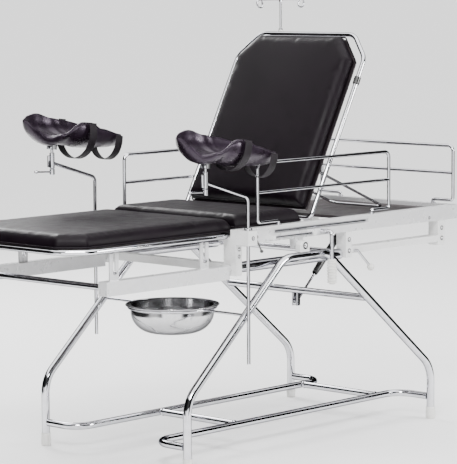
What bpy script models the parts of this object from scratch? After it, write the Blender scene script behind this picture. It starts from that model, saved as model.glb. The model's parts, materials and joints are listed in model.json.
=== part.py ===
"""Telescopic examination and labour table with a raised backrest, knee crutches, side rails and a drip pole.

+X runs from the foot end to the head end, +Z is up, and the origin is on the floor under the middle of
the table. Metres throughout. The near side is -Y.
"""

import math

import bmesh
import bpy
import numpy as np
from mathutils import Matrix, Vector

# ---------------------------------------------------------------- driving sizes
GAP = 0.0003                 # clearance between faces that touch on the real table
RUN = 0.0006                 # radial clearance of a turning or sliding fit

TABLE_LENGTH = 1.950         # foot tube of the leg section to the head end
RAIL_WIDTH = 0.664           # over the outer faces of the main side rails
RAIL_TOP = 0.782             # top of the main side rails
RAIL_HEIGHT = 0.052
RAIL_THICK = 0.030
RAIL_FOOT_X = -0.2117        # where the main side rails start, just behind the end frame
END_FRAME_DEPTH = 0.030

ARCH_OUT = 0.013             # arch tube centre, outwards from the rail face
ARCH_CENTRE_X = 0.150
ARCH_SPAN = 1.290            # leg to leg along the table
ARCH_TOP = 0.668             # tube centre of the flat top
ARCH_TOP_FOOT = -0.165       # ends of the flat top, from the arch's centre
ARCH_TOP_HEAD = 0.060
KNEE_FOOT = 0.235            # height of the knee of each leg
KNEE_HEAD = 0.195
ARCH_R = 0.014
FLOOR_TUBE_R = 0.0125
FLOOR_TUBE_Z = 0.082
FLOOR_INSET = 0.158          # floor rail centre, inwards from the arch plane
FLOOR_CROSS_X = (-0.085, 0.680)
CAP_R = 0.0175
CAP_HEIGHT = 0.045
CAP_FLOOR = 0.006

TILT_X = 0.080               # axis that the whole top tilts about
TILT_Z = 0.705
TILT_PIN_R = 0.006

BRACE_X = 0.435              # upper brace between the head-side legs
GAS_LOW = (0.437, 0.438)     # x, z of the gas spring's two pins
GAS_HIGH = (0.710, 0.700)
GAS_ROD_R = 0.0045
GAS_BORE_R = 0.0105
GAS_BODY_R = 0.0130
GAS_ROD_LENGTH = 0.230
GAS_BODY_LENGTH = 0.235
GAS_NECK = 0.028             # distance from the top pin at which the cylinder proper starts
GAS_BORE_END = 0.078         # distance from the top pin at which the bore stops
GAS_EYE_R = 0.0100
GAS_EYE_HALF = 0.0070
GAS_PIN_R = 0.0040
GAS_EAR = 0.0050

CROSS_HEIGHT = 0.026         # cross rails between the main side rails
CROSS_THICK = 0.030
CROSS_HEAD_X = 0.958         # middle of the head-end cross rail
HANGER_POST1 = (0.330, 0.360)
HANGER_POST2 = (0.855, 0.893)
HANGER_BAR_Z = (0.652, 0.675)
HANGER_LOW = 0.638
HANGER_DEPTH = 0.047
TIE_R = 0.011

SLIDE_IN = 0.032             # the two telescopes of the leg section, inwards from the rail face
SLIDE_Z = 0.650
INNER_R = 0.0130
SLEEVE_R = 0.0185
INNER_LENGTH = 0.400
BEAM_X = (-0.830, -0.260)
BEAM_Z = (0.615, 0.661)
BEAM_WIDTH = 0.040
END_TUBE_R = 0.0105
END_TUBE_Z = 0.640

HOOK_X = {"near": (-0.780, -0.363), "far": (-0.630, -0.290)}
HOOK_BAR = 0.008
HOOK_PLATE_WIDTH = 0.040
HOOK_PLATE_THICK = 0.005
HOOK_PLATE_TOP = 0.748
HOOK_SLOT = 0.010
HOOK_SEAT_Z = 0.681

PAD_GAP = 0.008              # between the leg pad and the seat pad
LEG_TUBE_R = 0.009
LEG_TUBE_Z = 0.762
LEG_TUBE_IN = 0.018
LEG_PAD_IN = 0.010
LEG_BOARD = (0.7624, 0.7720)
LEG_PAD_TOP = 0.815
LEG_HEAD_X = -0.222          # head-side edge of the leg pad
LEG_CHAMFER = 0.075
SEAT_IN = 0.026
SEAT_TOP = 0.825
SEAT_HEAD_X = 0.126

BACK_ANGLE = math.radians(62.0)
HINGE_X = 0.170
BACK_TUBE_R = 0.008
HINGE_Z = RAIL_TOP + GAP + BACK_TUBE_R
BACK_TUBE_IN = 0.027
BACK_TUBE_LENGTH = 0.712
BACK_PAD_IN = 0.028
BACK_PAD_START = 0.028       # from the hinge axis, along the backrest
BACK_PAD_END = 0.696
BACK_CHAMFER = (0.092, 0.082)
BACK_BOARD_THICK = 0.011
BACK_PAD_THICK = 0.047
DECK_X = (0.465, 0.942)
DECK_THICK = 0.011

PROP_R = 0.0048
PROP_FROM_HINGE = 0.225
PROP_DROP = 0.0158           # prop axis below the hinge axis with the backrest flat
PROP_HALF = 0.125
PROP_LENGTH = 0.540

GUARD_R = 0.006              # lift-out guard rails
GUARD_TOP = 1.000
GUARD_MID = 0.899
GUARD_IN = 0.010
GUARD_POST_X = (-0.122, 0.578)
GUARD_FOOT_X = (-0.016, 0.480)
GUARD_HEAD_X = 0.955
GUARD_SEAT = 0.012           # depth of the feet in the rails
GUARD_HEAD_FOOT_Y = 0.227
GUARD_FOOT_Z = 0.797

DRIP_X = 0.739
DRIP_OUT = 0.010
DRIP_TUBE_R = 0.0080
DRIP_BORE_R = 0.0050
DRIP_ROD_R = 0.0042
DRIP_TUBE_Z = (0.700, 1.432)
DRIP_ROD_LOW = 0.960
DRIP_TOP = 1.546
DRIP_BAR_HALF = 0.118
DRIP_HOOK_R = 0.0150
DRIP_WIRE_R = 0.0030

BOWL_X = -0.210
BOWL_RIM_R = 0.164
BOWL_BODY_R = 0.1455
BOWL_BASE_R = 0.066
BOWL_DEPTH = 0.096
BOWL_WALL = 0.0020
HOLDER_R = 0.152
HOLDER_WIRE_R = 0.0050

LEVER_X = 0.195
LEVER_Z = 0.744
LEVER_OUT = 0.049
LEVER_R = 0.008
LEVER_LOW = 0.650
GRIP_R = 0.0180
GRIP_LENGTH = 0.090
PULL_ROD_X = (-0.045, 0.440)
PULL_ROD_Z = 0.762
PULL_ROD_R = 0.004
PULL_TRAVEL = 0.010
GROOVE_DEPTH = 0.009
GROOVE_HALF = 0.0065

TILT_LEVER_PIVOT = (0.372, 0.662)
TILT_LEVER_REACH = 0.098
TILT_LEVER_SLOPE = math.radians(-42.0)
TILT_LEVER_STAND_OFF = 0.016

POLE_X = -0.222              # knee crutch rods
POLE_OUT = 0.038
POLE_R = 0.0060
POLE_LOW = 0.330
POLE_BEND_Z = 0.893
POLE_BEND_R = 0.022
ARM_REACH = 0.204
ARM_RISE = 0.062
POLE_RAISED = {"near": 0.0, "far": 0.030}
SOCKET_SIZE = (0.044, 0.0597, 0.050)
BUSH_R = 0.0100
BARREL_R = 0.0130
BARREL_HEIGHT = 0.054
POST_R = 0.0050
TSCREW_BAR = 0.075
CRUTCH_R = 0.068
CRUTCH_WALL = 0.013
CRUTCH_X = (-0.142, 0.282)   # either side of the crutch's own pivot
CRUTCH_WRAP = math.radians(100.0)
CRUTCH_TILT = math.radians(7.0)
CRUTCH_ROLL = math.radians(16.0)

FOOT_X = -TABLE_LENGTH / 2
HEAD_X = TABLE_LENGTH / 2
RAIL_OUT = RAIL_WIDTH / 2
RAIL_IN = RAIL_OUT - RAIL_THICK
RAIL_LOW = RAIL_TOP - RAIL_HEIGHT
ARCH_Y = RAIL_OUT + ARCH_OUT
SLIDE_Y = RAIL_OUT - SLIDE_IN
LEG_TUBE_HALF = RAIL_OUT - LEG_TUBE_IN
LEG_PAD_HALF = LEG_TUBE_HALF - LEG_PAD_IN
SEAT_HALF = RAIL_OUT - SEAT_IN
BACK_TUBE_HALF = RAIL_OUT - BACK_TUBE_IN
BACK_PAD_HALF = BACK_TUBE_HALF - BACK_PAD_IN
GUARD_Y = RAIL_OUT - GUARD_IN
DRIP_Y = RAIL_OUT + DRIP_OUT
LEVER_Y = -(RAIL_OUT + LEVER_OUT)
POLE_Y = RAIL_OUT + POLE_OUT
CROSS_TOP = RAIL_LOW + CROSS_HEIGHT
SIDES = {"near": -1, "far": 1}

FINISHES = {
    "chrome": ((0.80, 0.80, 0.82), 0.12, 1.0),
    "steel": ((0.78, 0.78, 0.80), 0.28, 1.0),
    "paint": ((0.88, 0.88, 0.89), 0.35, 0.0),
    "vinyl": ((0.035, 0.028, 0.036), 0.38, 0.0),
    "board": ((0.045, 0.035, 0.038), 0.50, 0.0),
    "plastic": ((0.90, 0.90, 0.89), 0.40, 0.0),
    "dark": ((0.03, 0.03, 0.035), 0.35, 0.0),
}


# ---------------------------------------------------------------- helpers
def clear_scene():
    for obj in list(bpy.data.objects):
        bpy.data.objects.remove(obj, do_unlink=True)


def finish(obj, kind):
    """Gives the object its own Principled material."""
    colour, roughness, metallic = FINISHES[kind]
    material = bpy.data.materials.new(f"{obj.name}_{kind}")
    material.use_nodes = True
    shader = material.node_tree.nodes["Principled BSDF"]
    shader.inputs["Base Color"].default_value = (*colour, 1.0)
    shader.inputs["Roughness"].default_value = roughness
    shader.inputs["Metallic"].default_value = metallic
    obj.data.materials.append(material)


def make(name, vertices, faces, kind, smooth=False):
    """A mesh object whose faces point outwards."""
    mesh = bpy.data.meshes.new(name)
    mesh.from_pydata([tuple(map(float, v)) for v in vertices], [], faces)
    shell = bmesh.new()
    shell.from_mesh(mesh)
    bmesh.ops.recalc_face_normals(shell, faces=shell.faces)
    shell.to_mesh(mesh)
    shell.free()
    obj = bpy.data.objects.new(name, mesh)
    bpy.context.scene.collection.objects.link(obj)
    finish(obj, kind)
    if smooth:
        mesh.shade_smooth()
        mesh.set_sharp_from_angle(angle=math.radians(40))
    return obj


def box(name, x, y, z, kind):
    """A box between the pairs x, y and z."""
    corners = [(a, b, c) for a in sorted(x) for b in sorted(y) for c in sorted(z)]
    faces = [(0, 1, 3, 2), (4, 6, 7, 5), (0, 4, 5, 1), (2, 3, 7, 6), (0, 2, 6, 4), (1, 5, 7, 3)]
    return make(name, corners, faces, kind)


def prism(name, outline, axis, span, kind):
    """The outline, given on the two axes other than the named one, extruded over span."""
    order = {"x": (2, 0, 1), "y": (0, 2, 1), "z": (0, 1, 2)}[axis]
    count = len(outline)
    vertices = []
    for height in sorted(span):
        for first, second in outline:
            point = (first, second, height)
            vertices.append(tuple(point[i] for i in order))
    sides = [(i, (i + 1) % count, count + (i + 1) % count, count + i) for i in range(count)]
    faces = [tuple(range(count)), tuple(range(count, 2 * count)), *sides]
    return make(name, vertices, faces, kind)


def turned(name, profile, place, axis, kind, sides=16):
    """A profile of (radius, height) points turned about the axis through place; closed where radius is 0."""
    spin = {"x": (1, 2, 0), "y": (2, 0, 1), "z": (0, 1, 2)}[axis]
    vertices = []
    rings = []
    for radius, height in profile:
        ring = []
        for step in range(1 if radius == 0 else sides):
            angle = 2 * math.pi * step / sides
            local = (radius * math.cos(angle), radius * math.sin(angle), height)
            point = [0.0, 0.0, 0.0]
            for index, target in enumerate(spin):
                point[target] = local[index]
            ring.append(len(vertices))
            vertices.append(Vector(point) + Vector(place))
        rings.append(ring)
    faces = []
    closed = profile[0][0] != 0
    pairs = list(zip(rings, rings[1:] + rings[:1])) if closed else list(zip(rings, rings[1:]))
    for low, high in pairs:
        for step in range(sides):
            after = (step + 1) % sides
            corners = [low[step % len(low)], low[after % len(low)]]
            corners += [high[after % len(high)], high[step % len(high)]]
            faces.append(tuple(dict.fromkeys(corners)))
    return make(name, vertices, faces, kind, smooth=True)


def rounded(corners, radius, steps=6, closed=False):
    """The corner points joined by straight runs, with an arc of the given radius at each bend."""
    points = [Vector(c) for c in corners]
    radii = radius if isinstance(radius, (list, tuple)) else [radius] * len(points)
    path = []
    for index, corner in enumerate(points):
        if not closed and index in (0, len(points) - 1):
            path.append(corner)
            continue
        back = (points[index - 1] - corner).normalized()
        ahead = (points[(index + 1) % len(points)] - corner).normalized()
        half = back.angle(ahead) / 2
        reach = radii[index] / math.tan(half)
        centre = corner + (back + ahead).normalized() * (radii[index] / math.sin(half))
        start = corner + back * reach - centre
        normal = back.cross(ahead).normalized()
        sweep = math.pi - 2 * half
        for step in range(steps + 1):
            turn = Matrix.Rotation(-sweep * step / steps, 3, normal)
            path.append(centre + turn @ start)
    return path


def tube(name, path, radius, kind, sides=12, closed=False):
    """A round bar that follows the path, with flat ends, or a closed loop."""
    path = [Vector(p) for p in path]
    count = len(path)
    tangents = []
    for index in range(count):
        before = path[index - 1] if closed or index else path[index]
        after = path[(index + 1) % count] if closed or index < count - 1 else path[index]
        incoming = (path[index] - before).normalized()
        outgoing = (after - path[index]).normalized()
        tangents.append((incoming + outgoing).normalized())
    side = tangents[0].orthogonal().normalized()
    vertices = []
    for index in range(count):
        side = (side - tangents[index] * side.dot(tangents[index])).normalized()
        other = tangents[index].cross(side)
        for step in range(sides):
            angle = 2 * math.pi * (step + 0.5) / sides
            offset = side * math.cos(angle) + other * math.sin(angle)
            vertices.append(path[index] + offset * radius)
    faces = []
    shift = 0
    if closed:
        first = vertices[0] - path[0]
        turns = [abs((vertices[(count - 1) * sides + s] - path[-1]).angle(first)) for s in range(sides)]
        shift = turns.index(min(turns))
    for index in range(count if closed else count - 1):
        following = (index + 1) % count
        skew = shift if following == 0 else 0
        for step in range(sides):
            after = (step + 1) % sides
            low = [index * sides + (step + skew) % sides, index * sides + (after + skew) % sides]
            faces.append((*low, following * sides + after, following * sides + step))
    if not closed:
        faces += [tuple(range(sides)), tuple(range((count - 1) * sides, count * sides))]
    return make(name, vertices, faces, kind, smooth=True)


def ball(name, centre, radius, kind, sides=12):
    """A turned ball."""
    stack = sides // 2
    arc = [math.pi * (i / stack - 0.5) for i in range(stack + 1)]
    profile = [(radius * math.cos(a), radius * math.sin(a)) for a in arc]
    profile[0] = (0, -radius)
    profile[-1] = (0, radius)
    return turned(name, profile, centre, "z", kind, sides)


def combine(obj, other, operation):
    """Adds a Boolean whose other solid is a hidden helper."""
    other.hide_render = True
    other.display_type = "WIRE"
    modifier = obj.modifiers.new(other.name, "BOOLEAN")
    modifier.operation = operation
    modifier.object = other
    modifier.solver = "EXACT"


def weld(obj, *others):
    for other in others:
        combine(obj, other, "UNION")


def cut(obj, *others):
    for other in others:
        combine(obj, other, "DIFFERENCE")


def pivot(name, place, turn=(0.0, 0.0, 0.0)):
    """An empty on a joint's axis; a rest angle given here turns everything on it."""
    empty = bpy.data.objects.new(name, None)
    empty.location = place
    empty.rotation_euler = turn
    bpy.context.scene.collection.objects.link(empty)
    return empty


def hang(holder, *objects, under=None):
    """Parents objects modelled in place to the empty, and their hidden helpers with them."""
    base = Matrix.Translation(-Vector(holder.location))
    for obj in objects:
        members = [obj] + [m.object for m in obj.modifiers if m.type == "BOOLEAN"]
        for member in members:
            member.parent = holder
            member.matrix_parent_inverse = base
    if under is not None:
        holder.parent = under
        holder.matrix_parent_inverse = Matrix.Translation(-Vector(under.location))


def arch_height(x, side):
    """Height of the arch's tube centre at x, on its foot-side or head-side leg."""
    if side == "foot":
        low, top, knee = -ARCH_SPAN / 2, ARCH_TOP_FOOT, KNEE_FOOT
    else:
        low, top, knee = ARCH_SPAN / 2, ARCH_TOP_HEAD, KNEE_HEAD
    share = (x - ARCH_CENTRE_X - top) / (low - top)
    return ARCH_TOP + share * (knee - ARCH_TOP)


# ---------------------------------------------------------------- base
def build_arches():
    for label, sign in SIDES.items():
        y = sign * ARCH_Y
        foot = ARCH_CENTRE_X - ARCH_SPAN / 2
        head = ARCH_CENTRE_X + ARCH_SPAN / 2
        corners = [
            (foot, y, CAP_FLOOR + GAP),
            (foot, y, KNEE_FOOT),
            (ARCH_CENTRE_X + ARCH_TOP_FOOT, y, ARCH_TOP),
            (ARCH_CENTRE_X + ARCH_TOP_HEAD, y, ARCH_TOP),
            (head, y, KNEE_HEAD),
            (head, y, CAP_FLOOR + GAP),
        ]
        path = rounded(corners, [0, 0.110, 0.100, 0.090, 0.110, 0])
        tube(f"arch_{label}", path, ARCH_R, "chrome")
        for place, x in (("foot", foot), ("head", head)):
            bore = ARCH_R + GAP
            profile = [(0, 0), (CAP_R, 0), (CAP_R, CAP_HEIGHT), (bore, CAP_HEIGHT), (bore, CAP_FLOOR)]
            turned(f"foot_cap_{place}_{label}", [*profile, (0, CAP_FLOOR)], (x, y, 0), "z", "plastic")


def build_floor_frame():
    """Two bent floor rails joined by two cross tubes, one weldment."""
    reach = ARCH_Y - ARCH_R - GAP
    inner = ARCH_Y - FLOOR_INSET
    foot = ARCH_CENTRE_X - ARCH_SPAN / 2
    head = ARCH_CENTRE_X + ARCH_SPAN / 2
    rails = []
    for label, sign in SIDES.items():
        corners = [(foot, sign * reach), (foot, sign * inner), (head, sign * inner), (head, sign * reach)]
        path = rounded([(x, y, FLOOR_TUBE_Z) for x, y in corners], 0.070)
        rails.append(tube(f"floor_rail_{label}", path, FLOOR_TUBE_R, "chrome"))
    frame = rails[0]
    frame.name = "floor_frame"
    crosses = []
    for index, x in enumerate(FLOOR_CROSS_X):
        ends = [(x, -inner, FLOOR_TUBE_Z), (x, inner, FLOOR_TUBE_Z)]
        crosses.append(tube(f"floor_cross_{index}", ends, FLOOR_TUBE_R * 0.96, "chrome"))
    weld(frame, crosses[0], rails[1], crosses[1])


def build_brace():
    """The upper brace, with the two ears and the pin that hold the gas spring."""
    z = arch_height(BRACE_X, "head")
    reach = ARCH_Y - ARCH_R - GAP
    brace = tube("upper_brace", [(BRACE_X, -reach, z), (BRACE_X, reach, z)], FLOOR_TUBE_R, "chrome")
    inner = GAS_EYE_HALF + RUN
    low_x, low_z = GAS_LOW
    for label, sign in SIDES.items():
        outline = [(low_x - 0.010, z), (low_x + 0.010, z), (low_x + 0.010, low_z - 0.010)]
        outline.append((low_x - 0.010, low_z - 0.010))
        span = (sign * inner, sign * (inner + GAS_EAR))
        weld(brace, prism(f"gas_ear_{label}", outline, "y", span, "chrome"))
    half = inner + GAS_EAR / 2
    ends = [(low_x, -half, low_z), (low_x, half, low_z)]
    weld(brace, tube("gas_low_pin", ends, GAS_PIN_R, "chrome", sides=10))


def build_bowl():
    z = arch_height(BOWL_X, "foot")
    ring = [(BOWL_X + HOLDER_R * math.cos(a), HOLDER_R * math.sin(a), z)
            for a in np.linspace(0, 2 * math.pi, 36, endpoint=False)]
    holder = tube("bowl_holder", ring, HOLDER_WIRE_R, "chrome", sides=8, closed=True)
    for label, sign in SIDES.items():
        ends = [(BOWL_X, sign * HOLDER_R, z), (BOWL_X, sign * (ARCH_Y - ARCH_R - GAP), z)]
        weld(holder, tube(f"bowl_arm_{label}", ends, HOLDER_WIRE_R * 0.95, "chrome", sides=8))
    seat = HOLDER_WIRE_R + GAP
    outer = [(0, seat - BOWL_DEPTH), (BOWL_BASE_R, seat - BOWL_DEPTH)]
    steps = 6
    for step in range(1, steps + 1):
        angle = math.pi / 2 * step / steps
        radius = BOWL_BASE_R + (BOWL_BODY_R - BOWL_BASE_R) * math.sin(angle)
        outer.append((radius, seat - BOWL_DEPTH + BOWL_DEPTH * 0.78 * (1 - math.cos(angle))))
    outer += [(BOWL_BODY_R, seat), (BOWL_RIM_R, seat), (BOWL_RIM_R, seat + BOWL_WALL)]
    inner = [(r - BOWL_WALL, h) for r, h in outer[2:-3]]
    inner.append((BOWL_BODY_R - BOWL_WALL, seat + BOWL_WALL))
    profile = [*outer, *reversed(inner), (BOWL_BASE_R - BOWL_WALL, seat - BOWL_DEPTH + BOWL_WALL)]
    profile.append((0, seat - BOWL_DEPTH + BOWL_WALL))
    bowl = turned("bowl", profile, (BOWL_X, 0, z), "z", "steel", sides=32)
    hang(pivot("bowl_lift", (BOWL_X, 0, z)), bowl)


def build_tilt_brackets():
    """Blocks on the arches' flat tops, each with the pin that the top turns on."""
    for label, sign in SIDES.items():
        outline = [(-0.024, ARCH_TOP + ARCH_R + GAP), (0.024, ARCH_TOP + ARCH_R + GAP)]
        outline += [(0.024, TILT_Z + 0.004), (0.014, TILT_Z + 0.016), (-0.014, TILT_Z + 0.016)]
        outline.append((-0.024, TILT_Z + 0.004))
        outline = [(TILT_X + x, z) for x, z in outline]
        face = RAIL_OUT + 2 * RUN
        span = (sign * face, sign * (ARCH_Y + ARCH_R))
        block = prism(f"tilt_bracket_{label}", outline, "y", span, "paint")
        ends = [(TILT_X, sign * (RAIL_IN - 0.004), TILT_Z), (TILT_X, sign * (face + 0.006), TILT_Z)]
        weld(block, tube(f"tilt_pin_{label}", ends, TILT_PIN_R, "chrome", sides=16))


# ---------------------------------------------------------------- tilting top
def foot_hole(name, x, y):
    """The blind hole that one foot of a guard rail drops into."""
    ends = [(x, y, RAIL_TOP - GUARD_SEAT - 2 * GAP), (x, y, RAIL_TOP + 0.01)]
    return tube(name, ends, GUARD_R + RUN, "steel", sides=20)


def build_side_rails(top):
    for label, sign in SIDES.items():
        tab = 0.020
        outline = [
            (RAIL_FOOT_X, RAIL_TOP), (HEAD_X, RAIL_TOP), (HEAD_X, RAIL_LOW),
            (TILT_X + tab, RAIL_LOW), (TILT_X + tab * 0.7, TILT_Z - 0.012),
            (TILT_X - tab * 0.7, TILT_Z - 0.012), (TILT_X - tab, RAIL_LOW), (RAIL_FOOT_X, RAIL_LOW),
        ]
        rail = prism(f"side_rail_{label}", outline, "y", (sign * RAIL_IN, sign * RAIL_OUT), "steel")
        ends = [(TILT_X, sign * (RAIL_IN - 0.01), TILT_Z), (TILT_X, sign * (RAIL_OUT + 0.01), TILT_Z)]
        hole = tube(f"tilt_hole_{label}", ends, TILT_PIN_R + RUN, "steel", sides=16)
        cut(rail, hole)
        for index, x in enumerate(GUARD_FOOT_X):
            cut(rail, foot_hole(f"guard_hole_{label}_{index}", x, sign * GUARD_Y))
        if label == "near":
            groove = box("pull_rod_groove", (PULL_ROD_X[0] - 0.003, PULL_ROD_X[1] + PULL_TRAVEL + 0.003),
                         (-RAIL_OUT - 0.01, -RAIL_OUT + GROOVE_DEPTH),
                         (PULL_ROD_Z - GROOVE_HALF, PULL_ROD_Z + GROOVE_HALF), "steel")
            cut(rail, groove)
        hang(top, rail)


def build_cross_rails(top):
    """Three cross rails: at the backrest hinge, with the gas spring's ears, and at the head."""
    wide = RAIL_IN - GAP
    saddle = 0.020
    seat = HINGE_Z - BACK_TUBE_R - GAP
    outline = [(-wide, RAIL_LOW), (wide, RAIL_LOW), (wide, CROSS_TOP)]
    for middle in (0.210, -0.210):
        outline += [(middle + saddle, CROSS_TOP), (middle + saddle, seat), (middle - saddle, seat)]
        outline.append((middle - saddle, CROSS_TOP))
    outline.append((-wide, CROSS_TOP))
    half = CROSS_THICK / 2
    hinge = prism("cross_rail_hinge", outline, "x", (HINGE_X - half, HINGE_X + half), "steel")

    inner = GAS_EYE_HALF + RUN
    low = GAS_HIGH[1] - 0.010
    outline = [(-wide, CROSS_TOP), (-wide, RAIL_LOW), (-inner - GAS_EAR, RAIL_LOW)]
    outline += [(-inner - GAS_EAR, low), (-inner, low), (-inner, RAIL_LOW), (inner, RAIL_LOW), (inner, low)]
    outline += [(inner + GAS_EAR, low), (inner + GAS_EAR, RAIL_LOW), (wide, RAIL_LOW), (wide, CROSS_TOP)]
    span = (GAS_HIGH[0] - half, GAS_HIGH[0] + half)
    gas = prism("cross_rail_gas", outline, "x", span, "steel")
    reach = inner + GAS_EAR / 2
    ends = [(GAS_HIGH[0], -reach, GAS_HIGH[1]), (GAS_HIGH[0], reach, GAS_HIGH[1])]
    weld(gas, tube("gas_high_pin", ends, GAS_PIN_R, "chrome", sides=10))

    head = box("cross_rail_head", (CROSS_HEAD_X - half, CROSS_HEAD_X + half), (-wide, wide),
               (RAIL_LOW, RAIL_TOP), "steel")
    for label, sign in SIDES.items():
        cut(head, foot_hole(f"guard_hole_head_{label}", GUARD_HEAD_X, sign * GUARD_HEAD_FOOT_Y))
    hang(top, hinge, gas, head)


def build_end_frame(top):
    """The upright frame at the foot of the main rails, which guides the telescopes."""
    low = HANGER_LOW - 0.012
    ledge = LEG_PAD_HALF + 0.0025
    shelf = CROSS_TOP - GAP
    outer = [(-RAIL_OUT, low), (RAIL_OUT, low), (RAIL_OUT, RAIL_TOP), (ledge, RAIL_TOP), (ledge, shelf)]
    outer += [(-ledge, shelf), (-ledge, RAIL_TOP), (-RAIL_OUT, RAIL_TOP)]
    far_x = RAIL_FOOT_X - GAP
    span = (far_x - END_FRAME_DEPTH, far_x)
    frame = prism("end_frame_foot", outer, "x", span, "paint")
    wide = RAIL_OUT - HANGER_DEPTH - 0.010
    window = box("end_frame_window", (span[0] - 0.01, span[1] + 0.01), (-wide, wide),
                 (SLIDE_Z + 0.016, RAIL_LOW + 0.012), "paint")
    under = box("end_frame_under", (span[0] - 0.01, span[1] + 0.01), (-wide, wide),
                (low - 0.01, SLIDE_Z - 0.012), "paint")
    cut(frame, window, under)
    for label, sign in SIDES.items():
        ends = [(span[0] - 0.01, sign * SLIDE_Y, SLIDE_Z), (span[1] + 0.01, sign * SLIDE_Y, SLIDE_Z)]
        cut(frame, tube(f"end_frame_bore_{label}", ends, INNER_R + RUN, "paint", sides=24))
    hang(top, frame)


def build_hangers(top):
    """The U-shaped hangers under the head half, the sleeves of the telescopes and the tie between them."""
    for label, sign in SIDES.items():
        (a, b), (c, d) = HANGER_POST1, HANGER_POST2
        low, high = HANGER_BAR_Z
        roof = RAIL_LOW - GAP
        outline = [(a, roof), (a, HANGER_LOW), (b, HANGER_LOW), (b, low), (c, low), (c, HANGER_LOW)]
        outline += [(d, HANGER_LOW), (d, roof), (c, roof), (c, high), (b, high), (b, roof)]
        span = (sign * (RAIL_OUT - HANGER_DEPTH), sign * RAIL_OUT)
        hanger = prism(f"hanger_{label}", outline, "y", span, "paint")
        start = RAIL_FOOT_X + GAP
        stop = a - GAP
        bore = INNER_R + RUN
        profile = [(bore, 0), (SLEEVE_R, 0), (SLEEVE_R, stop - start), (bore, stop - start)]
        place = (start, sign * SLIDE_Y, SLIDE_Z)
        sleeve = turned(f"telescope_sleeve_{label}", profile, place, "x", "chrome", sides=20)
        hang(top, hanger, sleeve)
    wide = RAIL_OUT - HANGER_DEPTH - GAP
    x = (HANGER_POST1[0] + HANGER_POST1[1]) / 2
    tie = tube("hanger_tie", [(x, -wide, HANGER_LOW + 0.014), (x, wide, HANGER_LOW + 0.014)], TIE_R, "chrome")
    hang(top, tie)


def build_boards(top):
    wide = RAIL_IN - GAP
    start = RAIL_FOOT_X + GAP
    lift = CROSS_TOP + GAP
    seat = box("seat_board", (start, SEAT_HEAD_X), (-wide, wide), (lift, RAIL_TOP), "board")
    pad_start = LEG_HEAD_X + PAD_GAP
    rim = [(pad_start, -SEAT_HALF), (SEAT_HEAD_X, -SEAT_HALF), (SEAT_HEAD_X, SEAT_HALF)]
    rim.append((pad_start, SEAT_HALF))
    pad = cushion("seat_pad", rim, RAIL_TOP + GAP, SEAT_TOP, 0.010)
    deck = box("deck_board", DECK_X, (-wide, wide), (lift, lift + DECK_THICK), "board")
    hang(top, seat, pad, deck)


def cushion(name, rim, low, high, edge):
    """A flat pad over the outline, with its top edges eased by one chamfer."""
    obj = prism(name, rim, "z", (low, high), "vinyl")
    bevel = obj.modifiers.new("eased_edges", "BEVEL")
    bevel.width = edge
    bevel.segments = 1
    bevel.limit_method = "ANGLE"
    bevel.angle_limit = math.radians(60)
    return obj


def build_release(top):
    """The hand lever with its ribbed grip, and the pull rod in the rail's groove."""
    shaft = [
        (LEVER_X, -RAIL_OUT - GAP, LEVER_Z),
        (LEVER_X, LEVER_Y, LEVER_Z),
        (LEVER_X, LEVER_Y, LEVER_LOW - 0.010),
    ]
    lever = tube("release_lever", rounded(shaft, 0.012, steps=4), LEVER_R, "chrome", sides=12)
    profile = [(0, -GRIP_LENGTH), (GRIP_R * 0.86, -GRIP_LENGTH), (GRIP_R, -GRIP_LENGTH + 0.006)]
    profile += [(GRIP_R, -0.006), (GRIP_R * 0.8, 0), (0, 0)]
    weld(lever, turned("release_grip", profile, (LEVER_X, LEVER_Y, LEVER_LOW), "z", "plastic"))
    hang(pivot("release_lever_pivot", (LEVER_X, LEVER_Y, LEVER_Z)), lever, under=top)

    y = -RAIL_OUT + PULL_ROD_R + 0.001
    ends = [(PULL_ROD_X[0], y, PULL_ROD_Z), (PULL_ROD_X[1], y, PULL_ROD_Z)]
    rod = tube("pull_rod", ends, PULL_ROD_R, "chrome", sides=10)
    hang(pivot("pull_rod_slide", (LEVER_X, y, PULL_ROD_Z)), rod, under=top)

    x, z = TILT_LEVER_PIVOT
    y = -RAIL_OUT - GAP
    run = TILT_LEVER_REACH
    out = y - TILT_LEVER_STAND_OFF
    tip = (x + run * math.cos(TILT_LEVER_SLOPE), out, z + run * math.sin(TILT_LEVER_SLOPE))
    corners = [(x, y, z), (x, out, z), tip]
    small = tube("tilt_lever", rounded(corners, 0.007, steps=3), 0.004, "chrome", sides=8)
    weld(small, ball("tilt_lever_knob", tip, 0.0135, "plastic"))
    hang(pivot("tilt_lever_pivot", (x, y, z)), small, under=top)


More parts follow.
